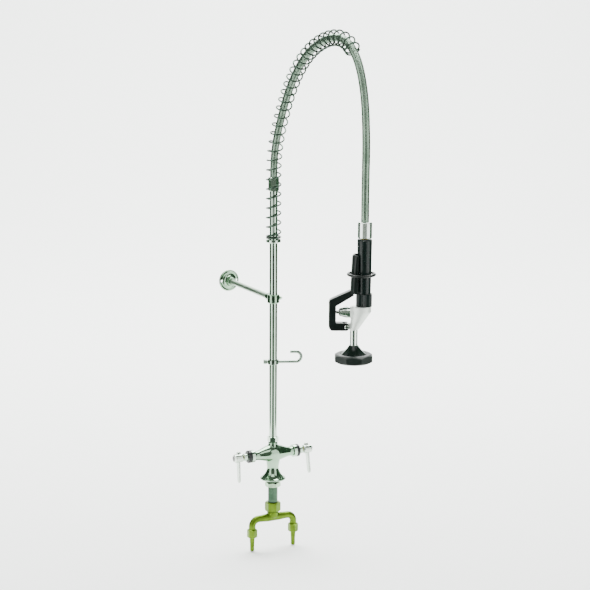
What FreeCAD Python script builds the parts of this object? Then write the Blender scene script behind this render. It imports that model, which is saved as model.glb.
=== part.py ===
import FreeCAD, Part
import Sketcher
import math
import os
import re

# Deck mounted pre rinse faucet. Millimetres. The origin is the centre of the base flange where
# it meets the deck, +Z up, -X the hot valve, +X the cold valve, -Y the user and +Y the wall.

V = FreeCAD.Vector
UP = V(0, 0, 1)
doc = FreeCAD.newDocument("PreRinseFaucet")

# A value that begins with = is a place or size that follows others.
SIZES = [
    # cast body: bell foot, waist, cross arms and riser socket
    ("flange_od", "55.5"), ("flange_thick", "3.5"), ("flange_round", "2"), ("waist_od", "25.6"),
    ("waist_height", "28"), ("bell_curve", "27"), ("body_top", "84"),
    ("neck_od", "=riser_od + 3.9"), ("body_core_od", "=riser_od + 15.9"), ("shoulder_curve", "32"),
    ("valve_height", "57"), ("arm_end", "47.3"), ("arm_end_od", "22"), ("arm_neck_at", "31"),
    ("arm_neck_od", "23.4"), ("arm_root_at", "17"), ("arm_root_od", "32.5"), ("arm_core_od", "37"),
    ("arm_rise", "2"), ("gasket_od", "48"), ("gasket_thick", "2"),
    # waterways drilled in the cast body
    ("valve_bore", "16"), ("seat_at", "=arm_end - 16.8"), ("port_bore", "5"),
    ("port_offset", "4.2"), ("outlet_bore", "12"), ("shank_depth", "14"),
    ("chamber_top", "=shank_depth + 20"), ("tube_top", "=chamber_top + 10"),
    ("cold_port_at", "8.6"),
    # shank, inner tube and nuts under the deck
    ("shank_od", "21.3"), ("shank_bore", "15.8"), ("shank_bottom", "-64"), ("inner_tube_od", "9.5"),
    ("inner_tube_bore", "7.5"), ("ring_section", "1.8"), ("tube_ring_inset", "5"),
    ("lock_nut_flats", "29.5"), ("lock_nut_top", "-6.5"), ("lock_nut_thick", "11"),
    ("coupling_flats", "30"), ("coupling_top", "=shank_bottom + 12"),
    ("coupling_bottom", "=shank_bottom - 10"),
    # brass supply tee with its check unions and inlet tips
    ("tee_height", "=coupling_bottom - 13"), ("tee_boss_od", "25"),
    ("tee_boss_bottom", "=tee_height - 7.5"), ("tee_boss_taper", "9.5"),
    ("tee_core_od", "17.5"), ("tee_core_ledge", "1.5"),
    ("tee_pipe_od", "15"), ("tee_pipe_bore", "9.5"), ("cold_rise_at", "7.2"),
    ("cold_rise_od", "3.2"), ("tee_spread", "50"), ("tee_bend", "15"),
    ("leg_bottom", "=tee_height - 21"), ("union_flats", "=tee_pipe_od + 4.5"),
    ("union_top", "=leg_bottom + 2"), ("union_bottom", "=leg_bottom - 19"),
    ("union_shoulder", "4.5"), ("tip_bottom", "=union_bottom - 30"), ("tip_od", "9.52"),
    ("tip_straight", "14"), ("tip_root_od", "11.6"), ("tip_bore", "6"), ("poppet_od", "8.6"),
    ("poppet_long", "9"),
    # ceramic disc valves and lever handles
    ("disc_od", "14"), ("disc_thick", "2.5"), ("stem_flange_thick", "3"), ("bonnet_od", "27.4"),
    ("bonnet_face", "=arm_end + 6.7"), ("collar_face", "=bonnet_face + 8"),
    ("bonnet_neck_od", "=stem_od + 7.2"), ("bonnet_end", "=collar_face + 9"), ("stem_od", "8.4"),
    ("stem_fit", "0.05"), ("ring_at", "=bonnet_face + 4"), ("hub_at", "=bonnet_end + 11"),
    ("stem_end", "=hub_at + 3"), ("screw_depth", "9"), ("screw_gap", "1"), ("hub_long", "18"),
    ("hub_od", "18.6"), ("boss_od", "9"), ("boss_rise", "4"), ("blade_reach", "55"),
    ("blade_width", "13"), ("blade_tip_width", "11"), ("blade_thick", "3.4"), ("blade_lean", "2"),
    ("blade_shift", "1.2"), ("lever_forward", "9"), ("screw_od", "4"), ("screw_head_od", "8"),
    ("button_od", "17"), ("button_rim", "1.6"), ("button_thick", "3"),
    # riser pipe, its nut, the spring seat, the wall bracket and the finger hook
    ("riser_od", "17.1"), ("riser_bore", "=riser_od - 4.6"), ("riser_socket", "10"),
    ("riser_top", "645"), ("riser_nut_flats", "=riser_od + 3.5"), ("riser_nut_thick", "12.5"),
    ("spring_seat", "=riser_top - 116"), ("seat_collar_od", "=riser_od + 14.9"),
    ("seat_collar_thick", "6"), ("bracket_height", "401"), ("clamp_od", "=riser_od + 8.9"),
    ("clamp_high", "18.5"), ("wall_at", "225"), ("rod_od", "12"), ("rod_wall", "2.4"),
    ("clamp_ear_od", "9.2"), ("ear_rise", "3"), ("clamp_boss_reach", "=clamp_od / 2 + 11"),
    ("wall_flange_od", "48"), ("wall_flange_thick", "4"), ("wall_hub_od", "=rod_od + 8"),
    ("wall_hub_long", "20"), ("wall_hole", "5.2"), ("wall_hole_spacing", "36"),
    ("set_screw_od", "5"), ("grub_screw_od", "3"), ("hook_height", "262"),
    ("hook_ring_od", "=riser_od + 6.9"), ("hook_ring_high", "10"), ("hook_fit", "0.06"),
    ("hook_rod_od", "6.4"), ("hook_reach", "63.5"), ("hook_curl", "11"), ("hook_return", "13"),
    ("hook_turn", "-24"), ("thumb_od", "10"), ("thumb_long", "8"),
    # overhead spring and hose
    ("hose_od", "16"), ("hose_nut_bottom", "=riser_top - 12"), ("hose_nut_top", "=riser_top + 18"),
    ("hose_nut_flats", "=riser_od + 2.9"), ("hose_bore", "10"),
    ("spring_od", "=hose_nut_flats + 13.5"), ("spring_wire", "3.4"), ("spring_pitch", "20.3"),
    ("spring_turns", "34"), ("closed_turns", "1.5"), ("spring_gap", "0.4"), ("arch_reach", "395"),
    ("ferrule_top", "625"), ("ferrule_bottom", "=ferrule_top - 32"), ("ferrule_od", "28"),
    # spray valve, hanging on the hose with its lever turned towards the riser
    ("valve_turn", "-27.2"), ("swivel_od", "14"), ("swivel_fit", "0.06"),
    ("swivel_top", "=ferrule_bottom + 15"), ("swivel_gap", "0.4"), ("grip_tube_od", "18"),
    ("grip_top_od", "29"), ("grip_bottom_od", "26"), ("grip_bottom", "=ferrule_bottom - 109"),
    ("grip_collar_od", "=grip_bottom_od + 5.3"), ("valve_top", "=grip_bottom - 25"),
    ("valve_shell_od", "38"), ("valve_shell_shift", "-4.8"), ("valve_waist", "=valve_top - 11"),
    ("valve_bottom", "=valve_top - 47"), ("outlet_at", "-19.2"), ("outlet_od", "14.8"),
    ("outlet_wall", "2.8"), ("outlet_depth", "8"), ("outlet_collar_od", "17"),
    ("stem_height", "=valve_top - 12"), ("valve_cavity", "15"), ("cavity_end", "4"),
    ("tube_gap", "0.3"), ("boss_face", "-27"), ("side_boss_od", "=valve_cavity + 9"),
    ("bonnet_depth", "8"), ("side_bonnet_end", "-49"), ("side_bonnet_tip_od", "16"),
    ("plunger_od", "7"), ("plunger_neck_od", "4"), ("plunger_gap", "0.3"),
    ("plunger_head_od", "12"), ("seat_ring_at", "-10.5"), ("seat_ring_thick", "3"),
    ("seat_ring_bore", "9.4"), ("washer_thick", "2.5"), ("washer_od", "12.4"),
    ("washer_gap", "0.05"), ("plunger_head_thick", "1.5"), ("return_wire", "1"), ("return_od", "9"),
    ("return_pitch", "2"), ("head_top", "=valve_bottom - 31"), ("head_socket", "7"),
    ("head_od", "51"), ("head_shoulder", "=head_top - 18"), ("head_bottom", "=head_top - 30"),
    ("cone_curve", "60"), ("head_wall", "3"), ("face_thick", "3"), ("jet_bore", "2.4"),
    ("inner_jets", "8"), ("outer_jets", "16"), ("inner_jet_ring", "16"), ("outer_jet_ring", "32"),
    ("bumper_flats", "73"), ("bumper_bottom", "=head_bottom - 4"),
    ("bumper_top", "=head_bottom + 13"), ("bumper_lip", "44"),
    # squeeze lever and its hold-open ring
    ("pivot_at", "-33.4"), ("pivot_height", "=valve_bottom + 7"), ("pivot_od", "5"),
    ("pivot_fit", "0.06"), ("lug_thick", "8"), ("lug_od", "12"), ("lug_gap", "0.4"),
    ("lever_width", "18"), ("lever_back", "-68.4"), ("lever_bar", "14"),
    ("lever_foot", "=pivot_height - 8"), ("lever_foot_high", "15.4"),
    ("lever_corner", "=pivot_height + 53"), ("lever_shoulder", "=pivot_height + 72"),
    ("lever_top", "=pivot_height + 144"), ("lever_hug_at", "-7.2"), ("lever_hug_od", "39"),
    ("lever_hollow_at", "-3"), ("lever_hollow_od", "34"), ("lever_plate_width", "29"),
    ("lever_tip_taper", "2.5"), ("lever_tip_round", "7"), ("ring_height", "=pivot_height + 103"),
    ("hold_ring_od", "57"), ("hold_ring_wire", "5.4"), ("hold_ring_shift", "-5.6"),
]

sheet = doc.addObject("Spreadsheet::Sheet", "Sizes")
for row, (alias, value) in enumerate(SIZES, 1):
    sheet.set(f"A{row}", alias)
    sheet.setAlias(f"B{row}", alias)
for row, (alias, value) in enumerate(SIZES, 1):
    sheet.set(f"B{row}", value)
doc.recompute()

subparts = []


def cell(formula):
    """A formula in size names, such as "riser_od / 2", rewritten to read the Sizes sheet."""
    return re.sub(r"\b[a-z]+(?:_[a-z]+)+\b", lambda name: "Sizes." + name.group(), str(formula))


def size(formula):
    """The number that a formula in size names gives."""
    return float(sheet.evalExpression(cell(formula)))


def bind(item, **formulas):
    """Set properties of an object from formulas and keep them bound to the sheet."""
    for name, formula in formulas.items():
        item.setExpression(name.replace("__", "."), cell(formula))


def keep(item, label, x="0", y="0", z="0", rotation=None):
    """Name a finished sub-part, put it in its place and add it to those that are written."""
    item.Label = label
    item.Placement = FreeCAD.Placement(V(size(x), size(y), size(z)), rotation or FreeCAD.Rotation())
    bind(item, Placement__Base__x=x, Placement__Base__y=y, Placement__Base__z=z)
    subparts.append(item)
    return item


def new_body(name):
    return doc.addObject("PartDesign::Body", name)


def draw(body, name, plane, corners, offset="0"):
    """A closed sketch on one of the body's origin planes, through corners of (across, up).

    A corner may add a radius and a side, and then the edge after it is an arc of that radius,
    its centre to the left (1) or right (-1) of the way the outline runs.
    """
    sketch = body.newObject("Sketcher::SketchObject", name)
    origin_plane = [o for o in body.Origin.OriginFeatures if o.Role == plane][0]
    sketch.AttachmentSupport = [(origin_plane, "")]
    sketch.MapMode = "FlatFace"
    bind(sketch, AttachmentOffset__Base__z=offset)
    spots = [V(size(corner[0]), size(corner[1]), 0) for corner in corners]
    ends = []
    for number, corner in enumerate(corners):
        start = spots[number]
        finish = spots[(number + 1) % len(spots)]
        if len(corner) == 2:
            sketch.addGeometry(Part.LineSegment(start, finish), False)
            ends.append((1, 2))
            continue
        radius = size(corner[2])
        along = finish - start
        left = V(-along.y, along.x, 0).normalize()
        depth = math.sqrt(max(radius ** 2 - (along.Length / 2) ** 2, 0))
        centre = (start + finish) * 0.5 + left * (corner[3] * depth)
        first, last = (start, finish) if corner[3] > 0 else (finish, start)
        angles = [math.atan2(spot.y - centre.y, spot.x - centre.x) for spot in (first, last)]
        sketch.addGeometry(Part.ArcOfCircle(Part.Circle(centre, UP, radius), *angles), False)
        ends.append((1, 2) if corner[3] > 0 else (2, 1))
    for number, corner in enumerate(corners):
        after = (number + 1) % len(corners)
        sketch.addConstraint(
            Sketcher.Constraint("Coincident", number, ends[number][1], after, ends[after][0])
        )
        for kind, formula in (("DistanceX", corner[0]), ("DistanceY", corner[1])):
            rule = Sketcher.Constraint(kind, -1, 1, number, ends[number][0], size(formula))
            index = sketch.addConstraint(rule)
            sketch.setExpression(f"Constraints[{index}]", cell(formula))
        if len(corner) == 4:
            index = sketch.addConstraint(Sketcher.Constraint("Radius", number, size(corner[2])))
            sketch.setExpression(f"Constraints[{index}]", cell(corner[2]))
    return sketch


def draw_circle(body, name, plane, radius, across="0", up="0", offset="0"):
    """A circle sketched on one of the body's origin planes, offset along the plane's normal."""
    sketch = body.newObject("Sketcher::SketchObject", name)
    origin_plane = [o for o in body.Origin.OriginFeatures if o.Role == plane][0]
    sketch.AttachmentSupport = [(origin_plane, "")]
    sketch.MapMode = "FlatFace"
    bind(sketch, AttachmentOffset__Base__z=offset)
    middle = V(size(across), size(up), 0)
    sketch.addGeometry(Part.Circle(middle, UP, size(radius)), False)
    rules = [
        (Sketcher.Constraint("DistanceX", -1, 1, 0, 3, middle.x), across),
        (Sketcher.Constraint("DistanceY", -1, 1, 0, 3, middle.y), up),
        (Sketcher.Constraint("Radius", 0, size(radius)), radius),
    ]
    for rule, formula in rules:
        index = sketch.addConstraint(rule)
        sketch.setExpression(f"Constraints[{index}]", cell(formula))
    return sketch


def revolve(body, sketch, axis="V_Axis", kind="Revolution"):
    """Turn a sketch a full turn about its own vertical or horizontal axis."""
    feature = body.newObject("PartDesign::" + kind, sketch.Name + kind)
    feature.Profile = sketch
    feature.ReferenceAxis = (sketch, [axis])
    feature.Angle = 360
    return feature


def extrude(body, sketch, length, kind="Pad", symmetric=False, reverse=False):
    """Pad or pocket a sketch by a length, to one side or to both."""
    feature = body.newObject("PartDesign::" + kind, sketch.Name + kind)
    feature.Profile = sketch
    bind(feature, Length=length)
    feature.Midplane = symmetric
    feature.Reversed = reverse
    return feature


def turned(label, corners, axis="V_Axis"):
    """A lathe-turned piece: one closed outline of (radius, height) revolved about its axis."""
    body = new_body(label)
    revolve(body, draw(body, label + "_outline", "XZ_Plane", corners), axis)
    return body


def sleeve(inner, outer, low, high):
    """Corners of a plain ring or tube: inner and outer radius, lower and upper end."""
    return [(inner, low), (outer, low), (outer, high), (inner, high)]


def along_x(corners):
    """The same corners for a piece turned about X: (height, radius) in place of (radius, height)."""
    return [(corner[1], corner[0]) + tuple(corner[2:]) for corner in corners]


def polygon(sides, flats):
    """Corners of a regular polygon given by the distance across its flats."""
    radius = f"({flats}) / 2 / cos({180 / sides} deg)"
    turn = 180 / sides
    return [
        (f"{radius} * cos({turn + 360 / sides * n} deg)", f"{radius} * sin({turn + 360 / sides * n} deg)")
        for n in range(sides)
    ]


def prism(label, sides, flats, low, high, bore, bevel_top="1.2", bevel_low="1.2"):
    """A nut: a regular prism with both rims turned to a bevel and a round bore through it."""
    body = new_body(label)
    base = draw(body, label + "_flats", "XY_Plane", polygon(sides, flats), offset=low)
    extrude(body, base, f"({high}) - ({low})")
    rim = f"(({flats}) / 2 / cos({180 / sides} deg) + 1)"
    cuts = [("top", high, bevel_top, "-"), ("low", low, bevel_low, "+")]
    for name, level, bevel, sign in cuts:
        shoulder = f"(({flats}) / 2 - ({bevel}))"
        corners = [
            (shoulder, level),
            (rim, level),
            (rim, f"({level}) {sign} ({rim} - {shoulder}) * 0.6"),
        ]
        revolve(body, draw(body, f"{label}_bevel_{name}", "XZ_Plane", corners), kind="Groove")
    hole = sleeve("0", bore, f"({low}) - 1", f"({high}) + 1")
    revolve(body, draw(body, label + "_bore", "XZ_Plane", hole), kind="Groove")
    return body


def cylinder(name, radius, length, x="0", y="0", z="0", along=UP):
    """A plain round drill or pin from a point along a direction."""
    item = doc.addObject("Part::Cylinder", name)
    bind(item, Radius=radius, Height=length)
    item.Placement = FreeCAD.Placement(V(size(x), size(y), size(z)), FreeCAD.Rotation(UP, along))
    bind(item, Placement__Base__x=x, Placement__Base__y=y, Placement__Base__z=z)
    return item


def drilled(name, base, drills):
    """A piece with every drill in a list cut out of it."""
    tools = drills[0]
    if len(drills) > 1:
        tools = doc.addObject("Part::MultiFuse", name + "_drills")
        tools.Shapes = drills
    item = doc.addObject("Part::Cut", name)
    item.Base = base
    item.Tool = tools
    return item


def group(name, items):
    """Several separate solids that share one node."""
    item = doc.addObject("Part::Compound", name)
    item.Links = items
    return item


# --- cast body ---------------------------------------------------------------------------------

casting = new_body("BodyCasting")
foot = [
    ("0", "0"),
    ("flange_od / 2", "0"),
    ("flange_od / 2", "flange_thick"),
    ("flange_od / 2 - flange_round", "flange_thick + flange_round / 2", "bell_curve", -1),
    ("waist_od / 2", "waist_height"),
    ("body_core_od / 2", "valve_height - 6"),
    ("body_core_od / 2", "valve_height + 5", "shoulder_curve", -1),
    ("neck_od / 2", "body_top - 2"),
    ("neck_od / 2", "body_top"),
    ("0", "body_top"),
]
revolve(casting, draw(casting, "FootOutline", "XZ_Plane", foot))
sections = [
    ("-arm_end", "arm_end_od", "0"), ("-arm_neck_at", "arm_neck_od", "0.2"),
    ("-arm_root_at", "arm_root_od", "0.7"), ("0", "arm_core_od", "1"),
    ("arm_root_at", "arm_root_od", "0.7"), ("arm_neck_at", "arm_neck_od", "0.2"),
    ("arm_end", "arm_end_od", "0"),
]
arm_rings = []
for number, (station, ring_od, rise) in enumerate(sections):
    arm_rings.append(
        draw_circle(
            casting, f"ArmSection{number}", "YZ_Plane", ring_od + " / 2",
            up=f"valve_height + arm_rise * {rise}", offset=station,
        )
    )
arms = casting.newObject("PartDesign::AdditiveLoft", "Arms")
arms.Profile = arm_rings[0]
arms.Sections = arm_rings[1:]

EAST = V(1, 0, 0)
WEST = V(-1, 0, 0)
NORTH = V(0, 1, 0)
SOUTH = V(0, -1, 0)
waterways = [
    cylinder("ShankSocket", "shank_od / 2", "shank_depth + 1", z="-1"),
    cylinder("ColdChamber", "shank_bore / 2", "chamber_top", z="0"),
    cylinder("HotSocket", "inner_tube_od / 2", "tube_top - chamber_top + 1", z="chamber_top - 1"),
    cylinder("HotRise", "port_bore / 2", "valve_height - port_offset - tube_top + 3", z="tube_top - 1"),
    cylinder("ColdRise", "port_bore / 2", "valve_height - port_offset - chamber_top + 1",
             x="cold_port_at", z="chamber_top - 1"),
    cylinder("HotPort", "port_bore / 2", "seat_at", z="valve_height - port_offset", along=WEST),
    cylinder("ColdPort", "port_bore / 2", "seat_at - cold_port_at", x="cold_port_at",
             z="valve_height - port_offset", along=EAST),
    cylinder("Outlet", "outlet_bore / 2", "body_top - valve_height", z="valve_height + 1"),
    cylinder("RiserSocket", "riser_od / 2", "riser_socket + 1", z="body_top - riser_socket"),
    cylinder("GasketRecess", "gasket_od / 2", "gasket_thick + 1", z="-1"),
]
for side, way in (("Hot", WEST), ("Cold", EAST)):
    sign = "-" if side == "Hot" else ""
    waterways.append(
        cylinder(side + "Mix", "port_bore / 2", "seat_at", z="valve_height + port_offset", along=way)
    )
    waterways.append(
        cylinder(side + "Chamber", "valve_bore / 2", "arm_end - seat_at + 1",
                 x=sign + "seat_at", z="valve_height", along=way)
    )
keep(drilled("BodyDrilled", casting, waterways), "faucet_body")

gasket = sleeve("shank_od / 2", "gasket_od / 2", "0", "gasket_thick")
keep(turned("DeckGasket", gasket), "deck_gasket")

# --- shank, nuts and inner tube -----------------------------------------------------------------

keep(turned("Shank", sleeve("shank_bore / 2", "shank_od / 2", "shank_bottom", "shank_depth")), "shank")
keep(
    prism("LockNut", 6, "lock_nut_flats", "lock_nut_top - lock_nut_thick", "lock_nut_top",
          "shank_od / 2"),
    "lock_nut",
)
tube = sleeve("inner_tube_bore / 2", "inner_tube_od / 2", "tee_height", "tube_top")
inner_tube = turned("InnerTube", tube)
ring_parts = []
for number, level in enumerate(("tube_top - tube_ring_inset", "tee_height + tube_ring_inset")):
    low = f"{level} - ring_section / 2"
    high = f"{level} + ring_section / 2"
    cut = sleeve("inner_tube_od / 2 - ring_section / 4", "inner_tube_od / 2 + 1", low, high)
    revolve(inner_tube, draw(inner_tube, f"RingGroove{number}", "XZ_Plane", cut), kind="Groove")
    seal = sleeve("inner_tube_od / 2 - ring_section / 4", "inner_tube_od / 2", low, high)
    ring_parts.append(turned(f"TubeRing{number}", seal))
keep(inner_tube, "inner_tube")
keep(group("TubeRings", ring_parts), "tube_o_rings")

keep(
    prism("CouplingNut", 6, "coupling_flats", "coupling_bottom", "coupling_top", "shank_od / 2",
          bevel_low="2.5"),
    "coupling_nut",
)

# --- brass supply tee ---------------------------------------------------------------------------

tee = new_body("TeeCasting")
boss = [
    ("0", "tee_boss_bottom"),
    ("tee_boss_od / 2 - tee_boss_taper", "tee_boss_bottom"),
    ("tee_boss_od / 2", "tee_boss_bottom + tee_boss_taper"),
    ("tee_boss_od / 2", "coupling_bottom"),
    ("shank_od / 2", "coupling_bottom"),
    ("shank_od / 2", "shank_bottom"),
    ("0", "shank_bottom"),
]
revolve(tee, draw(tee, "TeeBoss", "XZ_Plane", boss))
barrel = [
    ("-tee_spread + tee_bend", "0"),
    ("-tee_spread + tee_bend", "tee_pipe_od / 2 - 0.4"),
    ("-tee_boss_od / 2 - tee_core_ledge", "tee_core_od / 2"),
    ("tee_boss_od / 2 + tee_core_ledge", "tee_core_od / 2"),
    ("tee_spread - tee_bend", "tee_pipe_od / 2 - 0.4"),
    ("tee_spread - tee_bend", "0"),
]
cross = new_body("TeeCross")
revolve(cross, draw(cross, "TeeCrossOutline", "XZ_Plane", barrel), "H_Axis")
bind(cross, Placement__Base__z="tee_height")


def tee_leg(name, radius, inward):
    """A bent pipe from the cold end of the tee, down through a quarter bend to the union."""
    spread = size("tee_spread")
    bend = size("tee_bend")
    level = size("tee_height")
    turn = math.sqrt(0.5) * bend
    path = Part.Wire([
        Part.LineSegment(V(inward, 0, level), V(spread - bend, 0, level)).toShape(),
        Part.Arc(
            V(spread - bend, 0, level),
            V(spread - bend + turn, 0, level - bend + turn),
            V(spread, 0, level - bend),
        ).toShape(),
        Part.LineSegment(V(spread, 0, level - bend), V(spread, 0, size("leg_bottom"))).toShape(),
    ])
    ring = Part.Face(Part.Wire(Part.Circle(V(inward, 0, level), EAST, radius).toShape()))
    item = doc.addObject("Part::Feature", name)
    item.Shape = path.makePipe(ring)
    return item


cold_leg = tee_leg("ColdLeg", size("tee_pipe_od") / 2, size("tee_boss_od") / 4)
hot_leg = tee_leg("HotLeg", size("tee_pipe_od") / 2, size("tee_boss_od") / 4)
hot_leg.Placement = FreeCAD.Placement(V(), FreeCAD.Rotation(UP, 180))
tee_solid = doc.addObject("Part::MultiFuse", "TeeSolid")
tee_solid.Shapes = [tee, cross, cold_leg, hot_leg]
cold_passage = tee_leg("ColdPassage", size("tee_pipe_bore") / 2, size("cold_port_at"))
hot_passage = tee_leg("HotPassage", size("tee_pipe_bore") / 2, 0)
hot_passage.Placement = FreeCAD.Placement(V(), FreeCAD.Rotation(UP, 180))
tee_drills = [
    cold_passage,
    hot_passage,
    cylinder("TeeTubeSocket", "inner_tube_od / 2", "shank_bottom - tee_height + 1", z="tee_height"),
    cylinder("TeeColdRise", "cold_rise_od / 2", "shank_bottom - tee_height + 1", x="cold_rise_at",
             z="tee_height"),
]
keep(drilled("TeeDrilled", tee_solid, tee_drills), "supply_tee")

tip_profile = [
    ("tip_bore / 2", "tip_bottom"),
    ("tip_od / 2 - 0.5", "tip_bottom"),
    ("tip_od / 2", "tip_bottom + 0.8"),
    ("tip_od / 2", "tip_bottom + tip_straight"),
    ("tip_root_od / 2", "union_bottom"),
    ("tip_root_od / 2 - 0.8", "union_bottom"),
    ("tip_root_od / 2 - 0.8", "union_bottom + 4"),
    ("tip_bore / 2", "union_bottom + 4"),
]
poppet_profile = [
    ("0", "union_bottom + 5"),
    ("poppet_od / 2", "union_bottom + 5"),
    ("poppet_od / 2", "union_bottom + 3 + poppet_long"),
    ("poppet_od / 4", "union_bottom + 5 + poppet_long"),
    ("0", "union_bottom + 5 + poppet_long"),
]
unions = []
tips = []
poppets = []
for side, sign in (("Hot", "-"), ("Cold", "")):
    union = prism(side + "Union", 6, "union_flats", "union_bottom", "union_top", "tee_pipe_od / 2 - 1",
                  bevel_top="union_shoulder", bevel_low="1.5")
    socket = sleeve("0", "tee_pipe_od / 2", "leg_bottom", "union_top + 1")
    revolve(union, draw(union, side + "Socket", "XZ_Plane", socket), kind="Groove")
    tip = turned(side + "Tip", tip_profile)
    poppet = turned(side + "Poppet", poppet_profile)
    for item, rack in ((union, unions), (tip, tips), (poppet, poppets)):
        bind(item, Placement__Base__x=sign + "tee_spread")
        rack.append(item)
keep(group("Unions", unions), "check_unions")
keep(group("Tips", tips), "inlet_tips")
keep(group("Poppets", poppets), "check_poppets")

# --- valves and handles, each drawn for the cold side and turned about for the hot side ----------

for side, turn, swing in (("hot", 180, 1), ("cold", 0, -1)):
    facing = FreeCAD.Rotation(UP, turn)
    # the handle hangs down and a little towards the user
    hung = facing.multiply(FreeCAD.Rotation(EAST, swing * size("lever_forward")))

    fixed_disc = along_x(sleeve("0", "disc_od / 2", "seat_at", "seat_at + disc_thick"))
    disc = turned(side + "FixedDisc", fixed_disc, "H_Axis")
    ports = [
        cylinder(f"{side}DiscPort{n}", "port_bore / 2", "disc_thick + 2", x="seat_at - 1",
                 z=f"{way}port_offset", along=EAST)
        for n, way in enumerate(("-", "+"))
    ]
    ported = drilled(side + "FixedDiscPorted", disc, ports)
    keep(ported, side + "_fixed_disc", z="valve_height", rotation=facing)

    upper = along_x(sleeve("0", "disc_od / 2", "seat_at + disc_thick", "seat_at + 2 * disc_thick"))
    turning = turned(side + "TurningDisc", upper, "H_Axis")
    slot = doc.addObject("Part::Box", side + "DiscSlot")
    bind(slot, Length="disc_thick / 2 + 1", Width="port_bore", Height="port_offset * 2 + port_bore / 2")
    bind(slot, Placement__Base__x="seat_at + disc_thick - 1", Placement__Base__y="-port_bore / 2")
    bind(slot, Placement__Base__z="-port_offset - port_bore / 4")
    cut = drilled(side + "TurningDiscCut", turning, [slot])
    keep(cut, side + "_turning_disc", z="valve_height", rotation=hung)

    bonnet = along_x([
        ("stem_od / 2 + stem_fit", "seat_at + 2 * disc_thick + stem_flange_thick + 0.5"),
        ("valve_bore / 2", "seat_at + 2 * disc_thick + stem_flange_thick + 0.5"),
        ("valve_bore / 2", "arm_end"),
        ("bonnet_od / 2", "arm_end"),
        ("bonnet_od / 2", "bonnet_face"),
        ("bonnet_neck_od / 2", "bonnet_face"),
        ("bonnet_neck_od / 2", "bonnet_end - 1"),
        ("bonnet_neck_od / 2 - 1", "bonnet_end"),
        ("stem_od / 2 + stem_fit", "bonnet_end"),
    ])
    keep(turned(side + "Bonnet", bonnet, "H_Axis"), side + "_bonnet", z="valve_height", rotation=facing)

    collar = along_x([
        ("bonnet_neck_od / 2", "bonnet_face"),
        ("bonnet_od / 2 - 0.8", "bonnet_face"),
        ("bonnet_od / 2", "bonnet_face + 0.8"),
        ("bonnet_od / 2", "collar_face - 1.5"),
        ("bonnet_od / 2 - 1.5", "collar_face"),
        ("bonnet_neck_od / 2", "collar_face"),
    ])
    keep(turned(side + "BonnetRing", collar, "H_Axis"), side + "_bonnet_ring",
         z="valve_height", rotation=facing)

    stem_root = "seat_at + 2 * disc_thick"
    stem = along_x([
        ("0", stem_root),
        ("disc_od / 2 - 0.3", stem_root),
        ("disc_od / 2 - 0.3", stem_root + " + stem_flange_thick"),
        ("stem_od / 2", stem_root + " + stem_flange_thick"),
        ("stem_od / 2", "ring_at"),
        ("stem_od / 2 - ring_section / 2", "ring_at"),
        ("stem_od / 2 - ring_section / 2", "ring_at + ring_section"),
        ("stem_od / 2", "ring_at + ring_section"),
        ("stem_od / 2", "stem_end"),
        ("screw_od / 2", "stem_end"),
        ("screw_od / 2", "stem_end - screw_depth - screw_gap"),
        ("0", "stem_end - screw_depth - screw_gap"),
    ])
    keep(turned(side + "Stem", stem, "H_Axis"), side + "_stem", z="valve_height", rotation=hung)

    seal = along_x(sleeve("stem_od / 2 - ring_section / 2", "stem_od / 2", "ring_at",
                          "ring_at + ring_section"))
    keep(turned(side + "StemRing", seal, "H_Axis"), side + "_stem_o_ring", z="valve_height",
         rotation=hung)

    hub_low = "hub_at - hub_long / 2"
    hub_high = "hub_at + hub_long / 2"
    hub = along_x([
        ("stem_od / 2", hub_low),
        ("hub_od / 2 - 2.6", hub_low, "3.4", -1),
        ("hub_od / 2", hub_low + " + 3"),
        ("hub_od / 2", hub_high + " - 1"),
        ("hub_od / 2 - 1", hub_high),
        ("button_od / 2 - button_rim", hub_high),
        ("button_od / 2 - button_rim", "stem_end"),
        ("stem_od / 2", "stem_end"),
    ])
    handle_hub = turned(side + "Hub", hub, "H_Axis")
    blade = new_body(side + "Blade")
    blade_face = [
        ("-blade_tip_width / 2", "-blade_reach + blade_tip_width / 2", "blade_tip_width * 0.53", 1),
        ("blade_tip_width / 2", "-blade_reach + blade_tip_width / 2"),
        ("blade_width / 2", "-hub_od / 2 - 2"),
        ("blade_width / 2 - 1", "-hub_od / 2 + 3"),
        ("-blade_width / 2 + 1", "-hub_od / 2 + 3"),
        ("-blade_width / 2", "-hub_od / 2 - 2"),
    ]
    extrude(blade, draw(blade, side + "BladeFace", "YZ_Plane", blade_face), "blade_thick", symmetric=True)
    blade.Placement = FreeCAD.Placement(V(), FreeCAD.Rotation(NORTH, -size("blade_lean")))
    bind(blade, Placement__Base__x="hub_at + blade_shift")
    crown = cylinder(side + "Crown", "boss_od / 2", "hub_od / 2 + boss_rise", x="hub_at", z="0")
    crown_bore = cylinder(side + "CrownBore", "stem_od / 2", "hub_long", x=hub_low, along=EAST)
    crown_ring = drilled(side + "CrownRing", crown, [crown_bore])
    handle = doc.addObject("Part::MultiFuse", side + "Handle")
    handle.Shapes = [handle_hub, blade, crown_ring]
    keep(handle, side + "_lever", z="valve_height", rotation=hung)

    screw = along_x([
        ("0", "stem_end - screw_depth"),
        ("screw_od / 2", "stem_end - screw_depth"),
        ("screw_od / 2", "stem_end"),
        ("screw_head_od / 2", "stem_end"),
        ("screw_head_od / 2", "stem_end + 2"),
        ("screw_head_od / 2 - 1", "stem_end + 3"),
        ("0", "stem_end + 3"),
    ])
    keep(turned(side + "LeverScrew", screw, "H_Axis"), side + "_lever_screw", z="valve_height",
         rotation=hung)

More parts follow.
